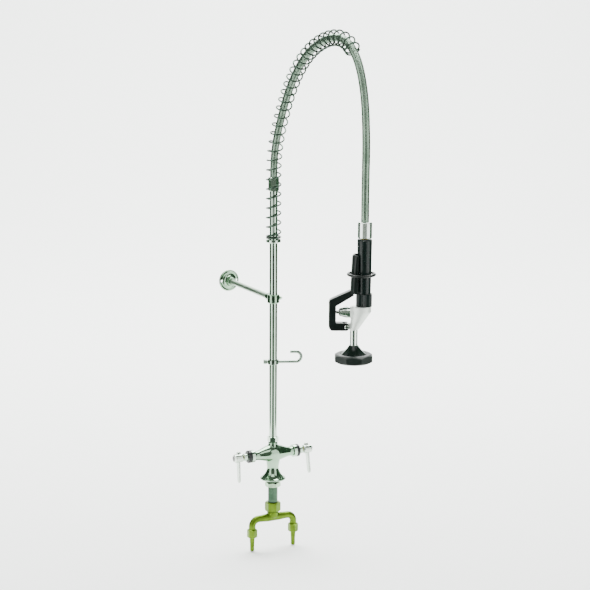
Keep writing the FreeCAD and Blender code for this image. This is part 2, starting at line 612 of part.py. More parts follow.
    button = along_x([
        ("0", hub_high + " - 1.5"),
        ("button_od / 2 - button_rim", hub_high + " - 1.5"),
        ("button_od / 2 - button_rim", hub_high),
        ("button_od / 2", hub_high),
        ("button_od / 2", hub_high + " + button_thick / 2"),
        ("button_od / 2 - 1.5", hub_high + " + button_thick"),
        ("0", hub_high + " + button_thick"),
    ])
    keep(turned(side + "Button", button, "H_Axis"), side + "_index_button", z="valve_height",
         rotation=hung)

# --- riser, spring seat, wall bracket and finger hook --------------------------------------------

keep(
    prism("RiserNut", 6, "riser_nut_flats", "body_top", "body_top + riser_nut_thick", "riser_od / 2"),
    "riser_nut",
)
riser = sleeve("riser_bore / 2", "riser_od / 2", "body_top - riser_socket", "riser_top")
keep(turned("Riser", riser), "riser")

seat_low = "spring_seat - seat_collar_thick"
seat_collar = turned("SeatCollar", [
    ("riser_od / 2", seat_low),
    ("seat_collar_od / 2 - 1.5", seat_low),
    ("seat_collar_od / 2", seat_low + " + 1.5"),
    ("seat_collar_od / 2", "spring_seat"),
    ("riser_od / 2", "spring_seat"),
])
collar_middle = "spring_seat - seat_collar_thick / 2"
collar_hole = cylinder("CollarHole", "grub_screw_od / 2", "seat_collar_od", z=collar_middle, along=SOUTH)
keep(drilled("SeatCollarDrilled", seat_collar, [collar_hole]), "spring_collar")

clamp_low = "bracket_height - clamp_high / 2"
clamp_high_end = "bracket_height + clamp_high / 2"
clamp_ring = turned("ClampRing", [
    ("0", clamp_low),
    ("clamp_od / 2 - 1", clamp_low),
    ("clamp_od / 2", clamp_low + " + 1"),
    ("clamp_od / 2", clamp_high_end + " - 1"),
    ("clamp_od / 2 - 1", clamp_high_end),
    ("0", clamp_high_end),
])
clamp_boss = cylinder("ClampBoss", "rod_od / 2 + rod_wall", "clamp_boss_reach - riser_od / 4",
                      y="riser_od / 4", z="bracket_height", along=NORTH)
clamp_ear = cylinder("ClampEar", "clamp_ear_od / 2", "clamp_od / 2 + ear_rise - riser_od / 4",
                     x="riser_od / 4", z="bracket_height", along=EAST)
clamp_solid = doc.addObject("Part::MultiFuse", "ClampSolid")
clamp_solid.Shapes = [clamp_ring, clamp_boss, clamp_ear]
clamp_drills = [
    cylinder("ClampBore", "riser_od / 2", "clamp_high + 2", z=clamp_low + " - 1"),
    cylinder("ClampRodBore", "rod_od / 2", "clamp_boss_reach", y="clamp_od / 2", z="bracket_height",
             along=NORTH),
    cylinder("ClampScrewBore", "set_screw_od / 2", "clamp_od", z="bracket_height", along=EAST),
]
keep(drilled("BracketClamp", clamp_solid, clamp_drills), "bracket_clamp")
clamp_screw = turned("ClampScrew", along_x([
    ("0", "riser_od / 2"),
    ("set_screw_od / 2", "riser_od / 2"),
    ("set_screw_od / 2", "clamp_od / 2 + ear_rise"),
    ("screw_head_od / 2", "clamp_od / 2 + ear_rise"),
    ("screw_head_od / 2", "clamp_od / 2 + ear_rise + 2.5"),
    ("screw_head_od / 2 - 0.8", "clamp_od / 2 + ear_rise + 3.5"),
    ("0", "clamp_od / 2 + ear_rise + 3.5"),
]), "H_Axis")
keep(clamp_screw, "clamp_screw", z="bracket_height")

rod_end = "wall_at - wall_flange_thick"
rod = cylinder("BracketRod", "rod_od / 2", f"{rod_end} - clamp_od / 2", along=NORTH)
keep(rod, "bracket_rod", y="clamp_od / 2", z="bracket_height", rotation=FreeCAD.Rotation(UP, NORTH))

# the wall flange is turned about its own axis, which then points from the wall to the user
flange = turned("WallFlangeTurned", [
    ("0", "0"),
    ("wall_flange_od / 2", "0"),
    ("wall_flange_od / 2", "wall_flange_thick - 1.5"),
    ("wall_flange_od / 2 - 2", "wall_flange_thick", "8", -1),
    ("wall_hub_od / 2", "wall_flange_thick + 5"),
    ("wall_hub_od / 2", "wall_hub_long - 1"),
    ("wall_hub_od / 2 - 1", "wall_hub_long"),
    ("0", "wall_hub_long"),
])
flange_drills = [
    cylinder("FlangeRodBore", "rod_od / 2", "wall_hub_long", z="wall_flange_thick"),
    cylinder("FlangeHoleWest", "wall_hole / 2", "wall_hub_long", x="-wall_hole_spacing / 2", z="-1"),
    cylinder("FlangeHoleEast", "wall_hole / 2", "wall_hub_long", x="wall_hole_spacing / 2", z="-1"),
    cylinder("FlangeSetBore", "grub_screw_od / 2", "wall_hub_od", z="wall_hub_long - 5", along=NORTH),
]
flange_facing = FreeCAD.Rotation(UP, SOUTH)
flange_cut = drilled("WallFlange", flange, flange_drills)
keep(flange_cut, "wall_flange", y="wall_at", z="bracket_height", rotation=flange_facing)

set_screws = [
    cylinder("CollarSetScrew", "grub_screw_od / 2", "seat_collar_od / 2 - riser_od / 2 - 0.5",
             y="-riser_od / 2", z=collar_middle, along=SOUTH),
    cylinder("FlangeSetScrew", "grub_screw_od / 2", "wall_hub_od / 2 - rod_od / 2 - 0.4",
             y="wall_at - wall_hub_long + 5", z="bracket_height + rod_od / 2", along=UP),
]
keep(group("SetScrews", set_screws), "set_screws")

hook_low = "-hook_ring_high / 2"
hook_ring = turned("HookRing", [
    ("riser_od / 2 + hook_fit", hook_low),
    ("hook_ring_od / 2 - 1", hook_low),
    ("hook_ring_od / 2", hook_low + " + 1"),
    ("hook_ring_od / 2", "hook_ring_high / 2 - 1"),
    ("hook_ring_od / 2 - 1", "hook_ring_high / 2"),
    ("riser_od / 2 + hook_fit", "hook_ring_high / 2"),
])
hook_start = size("riser_od") / 2 + 2
hook_bend = size("hook_reach") - size("hook_curl") - size("hook_rod_od") / 2
hook_lift = 2 * size("hook_curl")
hook_path = Part.Wire([
    Part.LineSegment(V(hook_start, 0, 0), V(hook_bend, 0, 0)).toShape(),
    Part.Arc(
        V(hook_bend, 0, 0),
        V(hook_bend + hook_lift / 2, 0, hook_lift / 2),
        V(hook_bend, 0, hook_lift),
    ).toShape(),
    Part.LineSegment(
        V(hook_bend, 0, hook_lift), V(hook_bend - size("hook_return"), 0, hook_lift)
    ).toShape(),
])
hook_round = Part.Face(Part.Wire(Part.Circle(V(hook_start, 0, 0), EAST, size("hook_rod_od") / 2).toShape()))
hook_rod = doc.addObject("Part::Feature", "HookRod")
hook_rod.Shape = hook_path.makePipe(hook_round)
hook_solid = doc.addObject("Part::MultiFuse", "HookSolid")
hook_solid.Shapes = [hook_ring, hook_rod]
hook_screw_bore = cylinder("HookScrewBore", "set_screw_od / 2", "hook_ring_od", along=WEST)
hook_turn = FreeCAD.Rotation(UP, size("hook_turn"))
keep(drilled("FingerHook", hook_solid, [hook_screw_bore]), "finger_hook", z="hook_height",
     rotation=hook_turn)

thumb_screw = turned("ThumbScrew", along_x([
    ("0", "-riser_od / 2 - 0.4"),
    ("set_screw_od / 2", "-riser_od / 2 - 0.4"),
    ("set_screw_od / 2", "-hook_ring_od / 2 - 1"),
    ("thumb_od / 2 - 1", "-hook_ring_od / 2 - 1"),
    ("thumb_od / 2", "-hook_ring_od / 2 - 2"),
    ("thumb_od / 2", "-hook_ring_od / 2 - thumb_long"),
    ("thumb_od / 2 - 1", "-hook_ring_od / 2 - thumb_long - 1"),
    ("0", "-hook_ring_od / 2 - thumb_long - 1"),
]), "H_Axis")
keep(thumb_screw, "hook_thumb_screw", z="hook_height", rotation=hook_turn)

# --- hose and spring: one route from the riser up over the arch and down to the spray valve -------

# (towards the user, height) of each point of the hose's route, between its two fittings, as drawn
# for an arch of ARCH_SPAN; the arch's own reach stretches it
ARCH = [(0, 705), (22, 770), (70, 857), (137, 926), (222, 966), (305, 974), (359, 938), (388, 872),
        (397, 785), (395, 700)]
ARCH_SPAN = 395


def route_points(first_height):
    """The route from a height on the riser's axis to the top of the ferrule."""
    points = [V(0, 0, first_height)]
    widening = size("arch_reach") / ARCH_SPAN
    points += [V(0, -forward * widening, height) for forward, height in ARCH]
    points.append(V(0, -size("arch_reach"), size("ferrule_top")))
    return points


def rounded(points, share):
    """Straight runs joined by tangent arcs: a list of edges, and the arcs' radii.

    Each arc takes a share of the shorter of its two runs.
    """
    edges = []
    radii = []
    last = points[0]
    for before, corner, after in zip(points, points[1:], points[2:]):
        entry = (before - corner).normalize()
        leave = (after - corner).normalize()
        reach = share * min((before - corner).Length, (after - corner).Length)
        half_turn = (math.pi - entry.getAngle(leave)) / 2
        radius = reach / math.tan(half_turn)
        arc_start = corner + entry * reach
        arc_end = corner + leave * reach
        inward = (entry + leave).normalize()
        middle = corner + inward * (radius / math.cos(half_turn) - radius)
        edges.append(Part.LineSegment(last, arc_start).toShape())
        edges.append(Part.Arc(arc_start, middle, arc_end).toShape())
        radii.append(radius)
        last = arc_end
    edges.append(Part.LineSegment(last, points[-1]).toShape())
    return edges, radii


def tube_along(edges, radius):
    """A round solid swept along edges that run on smoothly."""
    start = edges[0].valueAt(edges[0].FirstParameter)
    heading = edges[0].tangentAt(edges[0].FirstParameter)
    disc = Part.Face(Part.Wire(Part.Circle(start, heading, radius).toShape()))
    return Part.Wire(edges).makePipe(disc)


hose_edges, hose_radii = rounded(route_points(size("hose_nut_top")), 0.45)
hose = doc.addObject("Part::Feature", "Hose")
hose.Shape = tube_along(hose_edges, size("hose_od") / 2)
hose_length = sum(edge.Length for edge in hose_edges)
print("hose bend radii", [round(radius, 1) for radius in hose_radii])
print("hose length", round(hose_length, 1), "volume", round(hose.Shape.Volume),
      "section times length", round(math.pi * (size("hose_od") / 2) ** 2 * hose_length))
keep(hose, "hose")

hose_nut = prism("HoseNut", 6, "hose_nut_flats", "hose_nut_bottom", "hose_nut_top",
                 "riser_od / 2 + swivel_fit")
nut_top = sleeve("hose_bore / 2", "hose_nut_flats / 2 - 0.6", "riser_top + 1", "hose_nut_top")
revolve(hose_nut, draw(hose_nut, "HoseNutTop", "XZ_Plane", nut_top))
keep(hose_nut, "hose_nut")


def spring_coil():
    """Separate lengths of one round-wire coil that climbs the hose's route, four turns to each."""
    line = Part.Wire(rounded(route_points(size("spring_seat")), 0.45)[0])
    steps = 8
    wire = size("spring_wire")
    radius = (size("spring_od") - wire) / 2 / math.cos(math.pi / steps)
    turns = size("spring_turns")
    closed = size("closed_turns")
    places = line.discretize(Distance=0.5)
    travelled = [0]
    for here, there in zip(places, places[1:]):
        travelled.append(travelled[-1] + (there - here).Length)
    gap = size("spring_gap")
    distance = wire / 2 + gap
    corners = []
    index = 0
    for step in range(int(turns * steps) + 1):
        while travelled[index + 1] < distance:
            index += 1
        heading = (places[index + 1] - places[index]).normalize()
        centre = places[index] + heading * (distance - travelled[index])
        sideways = heading.cross(EAST)
        angle = 2 * math.pi * step / steps
        corners.append(centre + EAST * (radius * math.cos(angle)) + sideways * (radius * math.sin(angle)))
        coil = step / steps
        tight = coil < closed or coil > turns - 1
        distance += (wire + gap if tight else size("spring_pitch")) / steps
    edges = rounded(corners, 0.45)[0]
    per_length = 4 * steps * 2
    lengths = []
    for first in range(0, len(edges), per_length):
        lengths.append(tube_along(edges[first:first + per_length], wire / 2))
    return lengths


spring = doc.addObject("Part::Feature", "Spring")
spring_lengths = spring_coil()
spring.Shape = Part.makeCompound(spring_lengths)
print("spring lengths", len(spring_lengths))
keep(spring, "spring")

ferrule = turned("Ferrule", [
    ("swivel_od / 2 + swivel_fit", "ferrule_bottom + swivel_gap"),
    ("ferrule_od / 2 - 1", "ferrule_bottom + swivel_gap"),
    ("ferrule_od / 2", "ferrule_bottom + swivel_gap + 1"),
    ("ferrule_od / 2", "ferrule_top - 2.5", "2.5", 1),
    ("ferrule_od / 2 - 2.5", "ferrule_top"),
    ("hose_bore / 2", "ferrule_top"),
    ("hose_bore / 2", "swivel_top + 1"),
    ("swivel_od / 2 + swivel_fit", "swivel_top + 1"),
])
keep(ferrule, "hose_ferrule", y="-arch_reach", rotation=FreeCAD.Rotation(UP, size("valve_turn")))

# --- spray valve, drawn with its lever towards -X, then turned and hung on the hose --------------

valve_facing = FreeCAD.Rotation(UP, size("valve_turn"))


def hang(item, label):
    """Place a finished piece of the spray valve on the hose's axis."""
    return keep(item, label, y="-arch_reach", rotation=valve_facing)


tube_foot = "stem_height + valve_cavity / 2 + tube_gap"
grip_tube = turned("GripTube", [
    ("hose_bore / 2", tube_foot),
    ("grip_tube_od / 2", tube_foot),
    ("grip_tube_od / 2", "ferrule_bottom - 1"),
    ("swivel_od / 2", "ferrule_bottom - 1"),
    ("swivel_od / 2", "swivel_top"),
    ("hose_bore / 2", "swivel_top"),
])
hang(grip_tube, "grip_tube")
grip = turned("Grip", [
    ("grip_tube_od / 2", "grip_bottom"),
    ("grip_bottom_od / 2", "grip_bottom"),
    ("grip_top_od / 2", "ferrule_bottom - 4"),
    ("grip_top_od / 2 - 1.8", "ferrule_bottom - 1"),
    ("grip_tube_od / 2", "ferrule_bottom - 1"),
])
hang(grip, "grip_sleeve")
grip_collar = turned("GripCollar", [
    ("grip_tube_od / 2", "valve_top"),
    ("grip_collar_od / 2", "valve_top"),
    ("grip_collar_od / 2", "grip_bottom - 2"),
    ("grip_collar_od / 2 - 2", "grip_bottom"),
    ("grip_tube_od / 2", "grip_bottom"),
])
hang(grip_collar, "grip_collar")

shell = new_body("ValveShell")
top_ring = draw_circle(shell, "ShellTop", "XY_Plane", "valve_shell_od / 2", across="valve_shell_shift",
                       offset="valve_waist")
extrude(shell, top_ring, "valve_top - valve_waist")
loft_top = draw_circle(shell, "ShellWaist", "XY_Plane", "valve_shell_od / 2",
                       across="valve_shell_shift", offset="valve_waist")
loft_low = draw_circle(shell, "ShellFoot", "XY_Plane", "outlet_collar_od / 2", across="outlet_at",
                       offset="valve_bottom")
shell_loft = shell.newObject("PartDesign::AdditiveLoft", "ShellLoft")
shell_loft.Profile = loft_top
shell_loft.Sections = [loft_low]
side_boss = cylinder("SideBoss", "side_boss_od / 2", "-boss_face - 8", x="-8", z="stem_height", along=WEST)
lug = doc.addObject("Part::Box", "PivotLug")
bind(lug, Length="-pivot_at + outlet_at", Width="lug_thick", Height="lug_od")
bind(lug, Placement__Base__x="pivot_at", Placement__Base__y="-lug_thick / 2")
bind(lug, Placement__Base__z="pivot_height - lug_od / 2")
lug_end = cylinder("LugEnd", "lug_od / 2", "lug_thick", x="pivot_at", y="lug_thick / 2", z="pivot_height",
                   along=SOUTH)
valve_solid = doc.addObject("Part::MultiFuse", "ValveSolid")
valve_solid.Shapes = [shell, side_boss, lug, lug_end]
valve_drills = [
    cylinder("Cavity", "valve_cavity / 2", "cavity_end - boss_face + 1", x="cavity_end",
             z="stem_height", along=WEST),
    cylinder("TubeSocket", "grip_tube_od / 2", "valve_top", z=tube_foot),
    cylinder("TubeWay", "hose_bore / 2", "valve_cavity", z="stem_height"),
    cylinder("OutletBore", "outlet_od / 2 - outlet_wall", "stem_height - valve_bottom", x="outlet_at",
             z="valve_bottom - 1"),
    cylinder("OutletSocket", "outlet_od / 2", "outlet_depth + 1", x="outlet_at", z="valve_bottom - 1"),
    cylinder("PivotBore", "pivot_od / 2", "lever_width", x="pivot_at", y="lever_width / 2",
             z="pivot_height", along=SOUTH),
]
hang(drilled("ValveDrilled", valve_solid, valve_drills), "valve_body")

seat_ring = along_x(sleeve("seat_ring_bore / 2", "valve_cavity / 2", "seat_ring_at",
                           "seat_ring_at + seat_ring_thick"))
seat_body = turned("SeatRing", seat_ring, "H_Axis")
bind(seat_body, Placement__Base__z="stem_height")
hang(group("SeatRingSet", [seat_body]), "valve_seat")

side_bonnet = turned("SideBonnet", along_x([
    ("plunger_od / 2 + pivot_fit", "boss_face + bonnet_depth"),
    ("valve_cavity / 2", "boss_face + bonnet_depth"),
    ("valve_cavity / 2", "boss_face"),
    ("side_boss_od / 2 - 0.6", "boss_face"),
    ("side_boss_od / 2 - 0.6", "boss_face - 6"),
    ("side_bonnet_tip_od / 2", "side_bonnet_end + 2"),
    ("side_bonnet_tip_od / 2 - 2", "side_bonnet_end"),
    ("plunger_od / 2 + pivot_fit", "side_bonnet_end"),
]), "H_Axis")
bind(side_bonnet, Placement__Base__z="stem_height")
hang(group("SideBonnetSet", [side_bonnet]), "stem_bonnet")

plunger_tip = "lever_back + lever_bar + plunger_gap"
washer_near = "seat_ring_at + seat_ring_thick + washer_gap"
washer_far = washer_near + " + washer_thick"
plunger = turned("Plunger", along_x([
    ("0", plunger_tip),
    ("plunger_od / 2 - 1.5", plunger_tip),
    ("plunger_od / 2", plunger_tip + " + 1.5"),
    ("plunger_od / 2", "seat_ring_at - 3"),
    ("plunger_neck_od / 2", "seat_ring_at - 3"),
    ("plunger_neck_od / 2", washer_far),
    ("plunger_head_od / 2", washer_far),
    ("plunger_head_od / 2", washer_far + " + plunger_head_thick"),
    ("0", washer_far + " + plunger_head_thick"),
]), "H_Axis")
bind(plunger, Placement__Base__z="stem_height")
hang(group("PlungerSet", [plunger]), "valve_stem")
washer_ring = sleeve("plunger_neck_od / 2", "washer_od / 2", washer_near, washer_far)
washer = turned("Washer", along_x(washer_ring), "H_Axis")
bind(washer, Placement__Base__z="stem_height")
hang(group("WasherSet", [washer]), "stem_washer")

return_low = size(washer_far + " + plunger_head_thick + 1.7")
return_high = size("cavity_end")
return_helix = Part.makeHelix(size("return_pitch"), return_high - return_low - size("return_wire"),
                              (size("return_od") - size("return_wire")) / 2)
coil_start = V((size("return_od") - size("return_wire")) / 2, 0, 0)
coil_section = Part.Wire(Part.Circle(coil_start, NORTH, size("return_wire") / 2).toShape())
return_coil = Part.Wire(return_helix).makePipeShell([coil_section], True, True)
return_spring = doc.addObject("Part::Feature", "ReturnSpring")
return_spring.Shape = return_coil
return_facing = valve_facing.multiply(FreeCAD.Rotation(UP, EAST))
return_start = valve_facing.multVec(V(return_low + size("return_wire") / 2, 0, 0))
keep(return_spring, "return_spring", x=str(return_start.x), y=f"-arch_reach + ({return_start.y})",
     z="stem_height", rotation=return_facing)

outlet = turned("OutletTube", sleeve("outlet_od / 2 - outlet_wall", "outlet_od / 2", "head_top - head_socket",
                                     "valve_bottom + outlet_depth"))
bind(outlet, Placement__Base__x="outlet_at")
hang(group("OutletSet", [outlet]), "outlet_tube")

head = turned("SprayHead", [
    ("outlet_od / 2", "head_top - head_socket"),
    ("outlet_od / 2", "head_top"),
    ("outlet_od / 2 + 1.2", "head_top", "cone_curve", 1),
    ("head_od / 2", "head_shoulder"),
    ("head_od / 2", "head_bottom"),
    ("head_od / 2 - head_wall", "head_bottom"),
    ("head_od / 2 - head_wall", "head_shoulder - 2.5"),
    ("outlet_od / 2 + 1", "head_top - head_socket - 2"),
    ("outlet_od / 2 - outlet_wall", "head_top - head_socket - 2"),
    ("outlet_od / 2 - outlet_wall", "head_top - head_socket"),
])
bind(head, Placement__Base__x="outlet_at")
hang(group("SprayHeadSet", [head]), "spray_head")

face = new_body("SprayFace")
face_disc = draw_circle(face, "FaceDisc", "XY_Plane", "head_od / 2 - head_wall", offset="head_bottom")
extrude(face, face_disc, "face_thick")
jet_rings = [("Inner", "inner_jet_ring", "inner_jets"), ("Outer", "outer_jet_ring", "outer_jets")]
for name, ring, count in jet_rings:
    jet = draw_circle(face, name + "Jet", "XY_Plane", "jet_bore / 2", across=ring + " / 2",
                      offset="head_bottom + face_thick")
    hole = extrude(face, jet, "face_thick + 1", kind="Pocket")
    doc.recompute()
    pattern = face.newObject("PartDesign::PolarPattern", name + "Jets")
    pattern.Originals = [hole]
    pattern.Axis = (jet, ["N_Axis"])
    pattern.Angle = 360
    bind(pattern, Occurrences=count)
    face.Tip = pattern
bind(face, Placement__Base__x="outlet_at")
hang(group("SprayFaceSet", [face]), "spray_face")

bumper = prism("Bumper", 8, "bumper_flats", "bumper_bottom", "bumper_top", "bumper_lip / 2",
               bevel_top="3", bevel_low="3")
bumper_seat = sleeve("0", "head_od / 2", "head_bottom", "bumper_top + 1")
revolve(bumper, draw(bumper, "BumperSeat", "XZ_Plane", bumper_seat), kind="Groove")
bind(bumper, Placement__Base__x="outlet_at")
hang(group("BumperSet", [bumper]), "spray_bumper")

pivot_screw = turned("PivotScrew", [
    ("0", "-lever_width / 2 - 2"),
    ("4", "-lever_width / 2 - 2"),
    ("4", "-lever_width / 2 - 0.3"),
    ("pivot_od / 2", "-lever_width / 2 - 0.3"),
    ("pivot_od / 2", "lever_width / 2 + 0.3"),
    ("4", "lever_width / 2 + 0.3"),
    ("4", "lever_width / 2 + 1.4"),
    ("3", "lever_width / 2 + 2.4"),
    ("0", "lever_width / 2 + 2.4"),
])
pivot_screw.Placement = FreeCAD.Placement(V(), FreeCAD.Rotation(UP, SOUTH))
bind(pivot_screw, Placement__Base__x="pivot_at", Placement__Base__z="pivot_height")
hang(group("PivotScrewSet", [pivot_screw]), "lever_pivot_screw")

# --- squeeze lever: a flat C frame with a curved finger plate that hugs the grip ------------------

frame = new_body("LeverFrame")
foot_top = "lever_foot + lever_foot_high"
inner_face = "lever_back + lever_bar"
frame_outline = [
    ("lever_back + 6", "lever_foot", "12", -1),
    ("lever_back", "lever_foot + 8"),
    ("lever_back", "lever_corner - 4", "8", -1),
    ("lever_back + 5", "lever_corner + 2"),
    ("lever_hug_at - lever_hug_od / 2", "lever_shoulder"),
    ("lever_hollow_at - lever_hollow_od / 2", "lever_shoulder + 6"),
    ("lever_hollow_at - lever_hollow_od / 2", "lever_shoulder - 10"),
    (inner_face, "lever_corner - 12"),
    (inner_face, foot_top),
    ("pivot_at", foot_top, "lever_foot_high * 0.53", -1),
    ("pivot_at", "lever_foot"),
]
extrude(frame, draw(frame, "FrameOutline", "XZ_Plane", frame_outline), "lever_width", symmetric=True)

plate = new_body("LeverPlate")
outer_edge = "lever_hug_at - sqrt((lever_hug_od / 2)^2 - (lever_plate_width / 2)^2)"
inner_edge = "lever_hollow_at - sqrt((lever_hollow_od / 2)^2 - (lever_plate_width / 2)^2)"
plate_section = [
    (inner_edge, "-lever_plate_width / 2", "lever_hollow_od / 2", -1),
    (inner_edge, "lever_plate_width / 2"),
    (outer_edge, "lever_plate_width / 2", "lever_hug_od / 2", 1),
    (outer_edge, "-lever_plate_width / 2"),
]
plate_base = "lever_shoulder - 6"
plate_sketch = draw(plate, "PlateSection", "XY_Plane", plate_section, offset=plate_base)
extrude(plate, plate_sketch, f"lever_top - ({plate_base})")
tip_start = "lever_hug_od / 2 - lever_tip_taper"
tip_cut = turned("LeverTipCut", [
    (tip_start, "lever_top - lever_tip_round", "lever_tip_round", 1),
    (tip_start + " - lever_tip_round", "lever_top"),
    (tip_start + " - lever_tip_round", "lever_top + 1"),
    ("lever_hug_od / 2 + 2", "lever_top + 1"),
    ("lever_hug_od / 2 + 2", "lever_shoulder + 10"),
    ("lever_hug_od / 2", "lever_shoulder + 10"),
])
bind(tip_cut, Placement__Base__x="lever_hug_at")
lever_solid = doc.addObject("Part::MultiFuse", "LeverSolid")
lever_solid.Shapes = [frame, plate]
fork_slot = doc.addObject("Part::Box", "ForkSlot")
bind(fork_slot, Length="lug_od + 8", Width="lug_thick + 2 * lug_gap", Height="lever_foot_high + 8")
bind(fork_slot, Placement__Base__x="pivot_at - lug_od / 2 - 2")
bind(fork_slot, Placement__Base__y="-lug_thick / 2 - lug_gap", Placement__Base__z="lever_foot - 4")
pivot_hole = cylinder("LeverPivotBore", "pivot_od / 2 + pivot_fit", "lever_width + 2", x="pivot_at",
                      y="lever_width / 2 + 1", z="pivot_height", along=SOUTH)
hang(drilled("LeverDrilled", lever_solid, [fork_slot, pivot_hole, tip_cut]), "squeeze_lever")

hold_ring = doc.addObject("Part::Torus", "HoldRing")
bind(hold_ring, Radius1="hold_ring_od / 2 - hold_ring_wire / 2", Radius2="hold_ring_wire / 2")
bind(hold_ring, Placement__Base__x="hold_ring_shift", Placement__Base__z="ring_height")
hang(group("HoldRingSet", [hold_ring]), "hold_ring")

# --- check every object and write the sub-parts ---------------------------------------------------

doc.recompute()
for item in doc.Objects:
    if "Invalid" in item.State or "Error" in item.State:
        raise RuntimeError(f"{item.Name} did not compute: {item.State}")
for item in subparts:
    if item.Shape.isNull() or not item.Shape.isValid():
        raise RuntimeError(f"{item.Label} has no valid shape")
os.makedirs("parts", exist_ok=True)
for item in subparts:
    item.Shape.exportStep(f"parts/{item.Label}.step")
print(len(subparts), "sub-parts written")
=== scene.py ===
import bpy
import math
from mathutils import Matrix, Vector


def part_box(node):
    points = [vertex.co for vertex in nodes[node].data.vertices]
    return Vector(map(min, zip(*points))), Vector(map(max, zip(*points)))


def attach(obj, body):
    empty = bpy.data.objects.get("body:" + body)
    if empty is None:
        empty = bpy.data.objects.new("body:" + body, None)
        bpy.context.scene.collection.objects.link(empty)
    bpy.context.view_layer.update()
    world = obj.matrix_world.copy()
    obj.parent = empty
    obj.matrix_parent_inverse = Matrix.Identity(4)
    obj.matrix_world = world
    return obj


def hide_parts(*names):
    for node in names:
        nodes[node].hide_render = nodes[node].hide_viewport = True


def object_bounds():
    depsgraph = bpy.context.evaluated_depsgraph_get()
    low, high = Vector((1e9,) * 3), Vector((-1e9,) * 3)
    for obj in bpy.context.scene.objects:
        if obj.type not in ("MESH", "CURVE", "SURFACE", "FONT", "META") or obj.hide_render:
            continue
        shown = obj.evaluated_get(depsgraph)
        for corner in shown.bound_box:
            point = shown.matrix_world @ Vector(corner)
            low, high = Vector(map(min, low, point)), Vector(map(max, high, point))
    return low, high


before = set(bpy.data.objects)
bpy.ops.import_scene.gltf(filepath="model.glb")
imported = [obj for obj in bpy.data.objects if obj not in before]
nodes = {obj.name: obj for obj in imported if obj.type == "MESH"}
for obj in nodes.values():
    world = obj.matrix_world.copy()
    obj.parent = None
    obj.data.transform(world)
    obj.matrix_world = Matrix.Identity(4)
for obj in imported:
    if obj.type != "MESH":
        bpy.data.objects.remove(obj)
cad_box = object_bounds()
collection = bpy.context.scene.collection

# Camera. It stands to the left of the faucet and a little above it, far off, so that the tall
# riser hardly narrows. It aims at a point beside the riser, half way between hose and tee.

AIM = Vector((0.052, 0.0, 0.404))
CAMERA_TURN = math.radians(-27.2)
CAMERA_RISE = math.radians(11.5)
CAMERA_ROLL = math.radians(0.3)
CAMERA_AWAY = 4.0
LENS = 113.5

back = Vector((
    math.sin(CAMERA_TURN) * math.cos(CAMERA_RISE),
    -math.cos(CAMERA_TURN) * math.cos(CAMERA_RISE),
    math.sin(CAMERA_RISE),
))
camera = bpy.data.objects.new("camera", bpy.data.cameras.new("camera"))
camera.data.lens = LENS
camera.data.clip_end = 30
turn = (-back).to_track_quat("-Z", "Y").to_matrix().to_4x4() @ Matrix.Rotation(CAMERA_ROLL, 4, "Z")
camera.matrix_world = Matrix.Translation(AIM + back * CAMERA_AWAY) @ turn
collection.objects.link(camera)
bpy.context.scene.camera = camera

# Hose. A rubber core in an interlocked stainless cover, wound from one folded strip, so fine ribs
# run round it all the way. It leaves the nut on the riser, climbs inside the spring, goes over
# the arch and hangs down to the spray valve's ferrule.

HOSE_OD = 0.016
HOSE_RIB = 0.0026
HOSE_RIB_DEPTH = 0.0005
NUT_TOP = 0.663
REACH = 0.395
FERRULE_TOP = 0.625
# (towards the user, height) of each point of the hose's route over the arch
ARCH = [
    (0, 0.705), (0.022, 0.770), (0.070, 0.857), (0.137, 0.926), (0.222, 0.966), (0.305, 0.974),
    (0.359, 0.938), (0.388, 0.872), (0.397, 0.785), (0.395, 0.700),
]
hose_points = [(0, 0, NUT_TOP)]
hose_points += [(0, -forward, height) for forward, height in ARCH]
hose_points.append((0, -REACH, FERRULE_TOP))


def smooth_line(name, points):
    """The points along one smooth open curve that has the given control points."""
    curve = bpy.data.curves.new(name, "CURVE")
    curve.dimensions = "3D"
    curve.resolution_u = 32
    spline = curve.splines.new("NURBS")
    spline.points.add(len(points) - 1)
    for spot, point in zip(spline.points, points):
        spot.co = (*point, 1)
    spline.order_u = 3
    spline.use_endpoint_u = True
    holder = bpy.data.objects.new(name, curve)
    collection.objects.link(holder)
    bpy.context.view_layer.update()
    mesh = bpy.data.meshes.new_from_object(holder)
    line = [Vector(vertex.co) for vertex in mesh.vertices]
    bpy.data.objects.remove(holder)
    bpy.data.meshes.remove(mesh)
    return line


def shape_tree(name, sizes):
    """An empty Geometry Nodes tree with a named input for each size, and its two end nodes."""
    tree = bpy.data.node_groups.new(name, "GeometryNodeTree")
    tree.interface.new_socket("Geometry", in_out="INPUT", socket_type="NodeSocketGeometry")
    tree.interface.new_socket("Finish", in_out="INPUT", socket_type="NodeSocketMaterial")
    for size in sizes:
        tree.interface.new_socket(size, in_out="INPUT", socket_type="NodeSocketFloat")
    tree.interface.new_socket("Geometry", in_out="OUTPUT", socket_type="NodeSocketGeometry")
    return tree, tree.nodes.new("NodeGroupInput"), tree.nodes.new("NodeGroupOutput")


def maths(tree, operation, *values):
    """A Math node on values that are sockets or numbers; returns its output."""
    node = tree.nodes.new("ShaderNodeMath")
    node.operation = operation
    for socket, value in zip(node.inputs, values):
        if isinstance(value, (int, float)):
            socket.default_value = value
        else:
            tree.links.new(value, socket)
    return node.outputs[0]


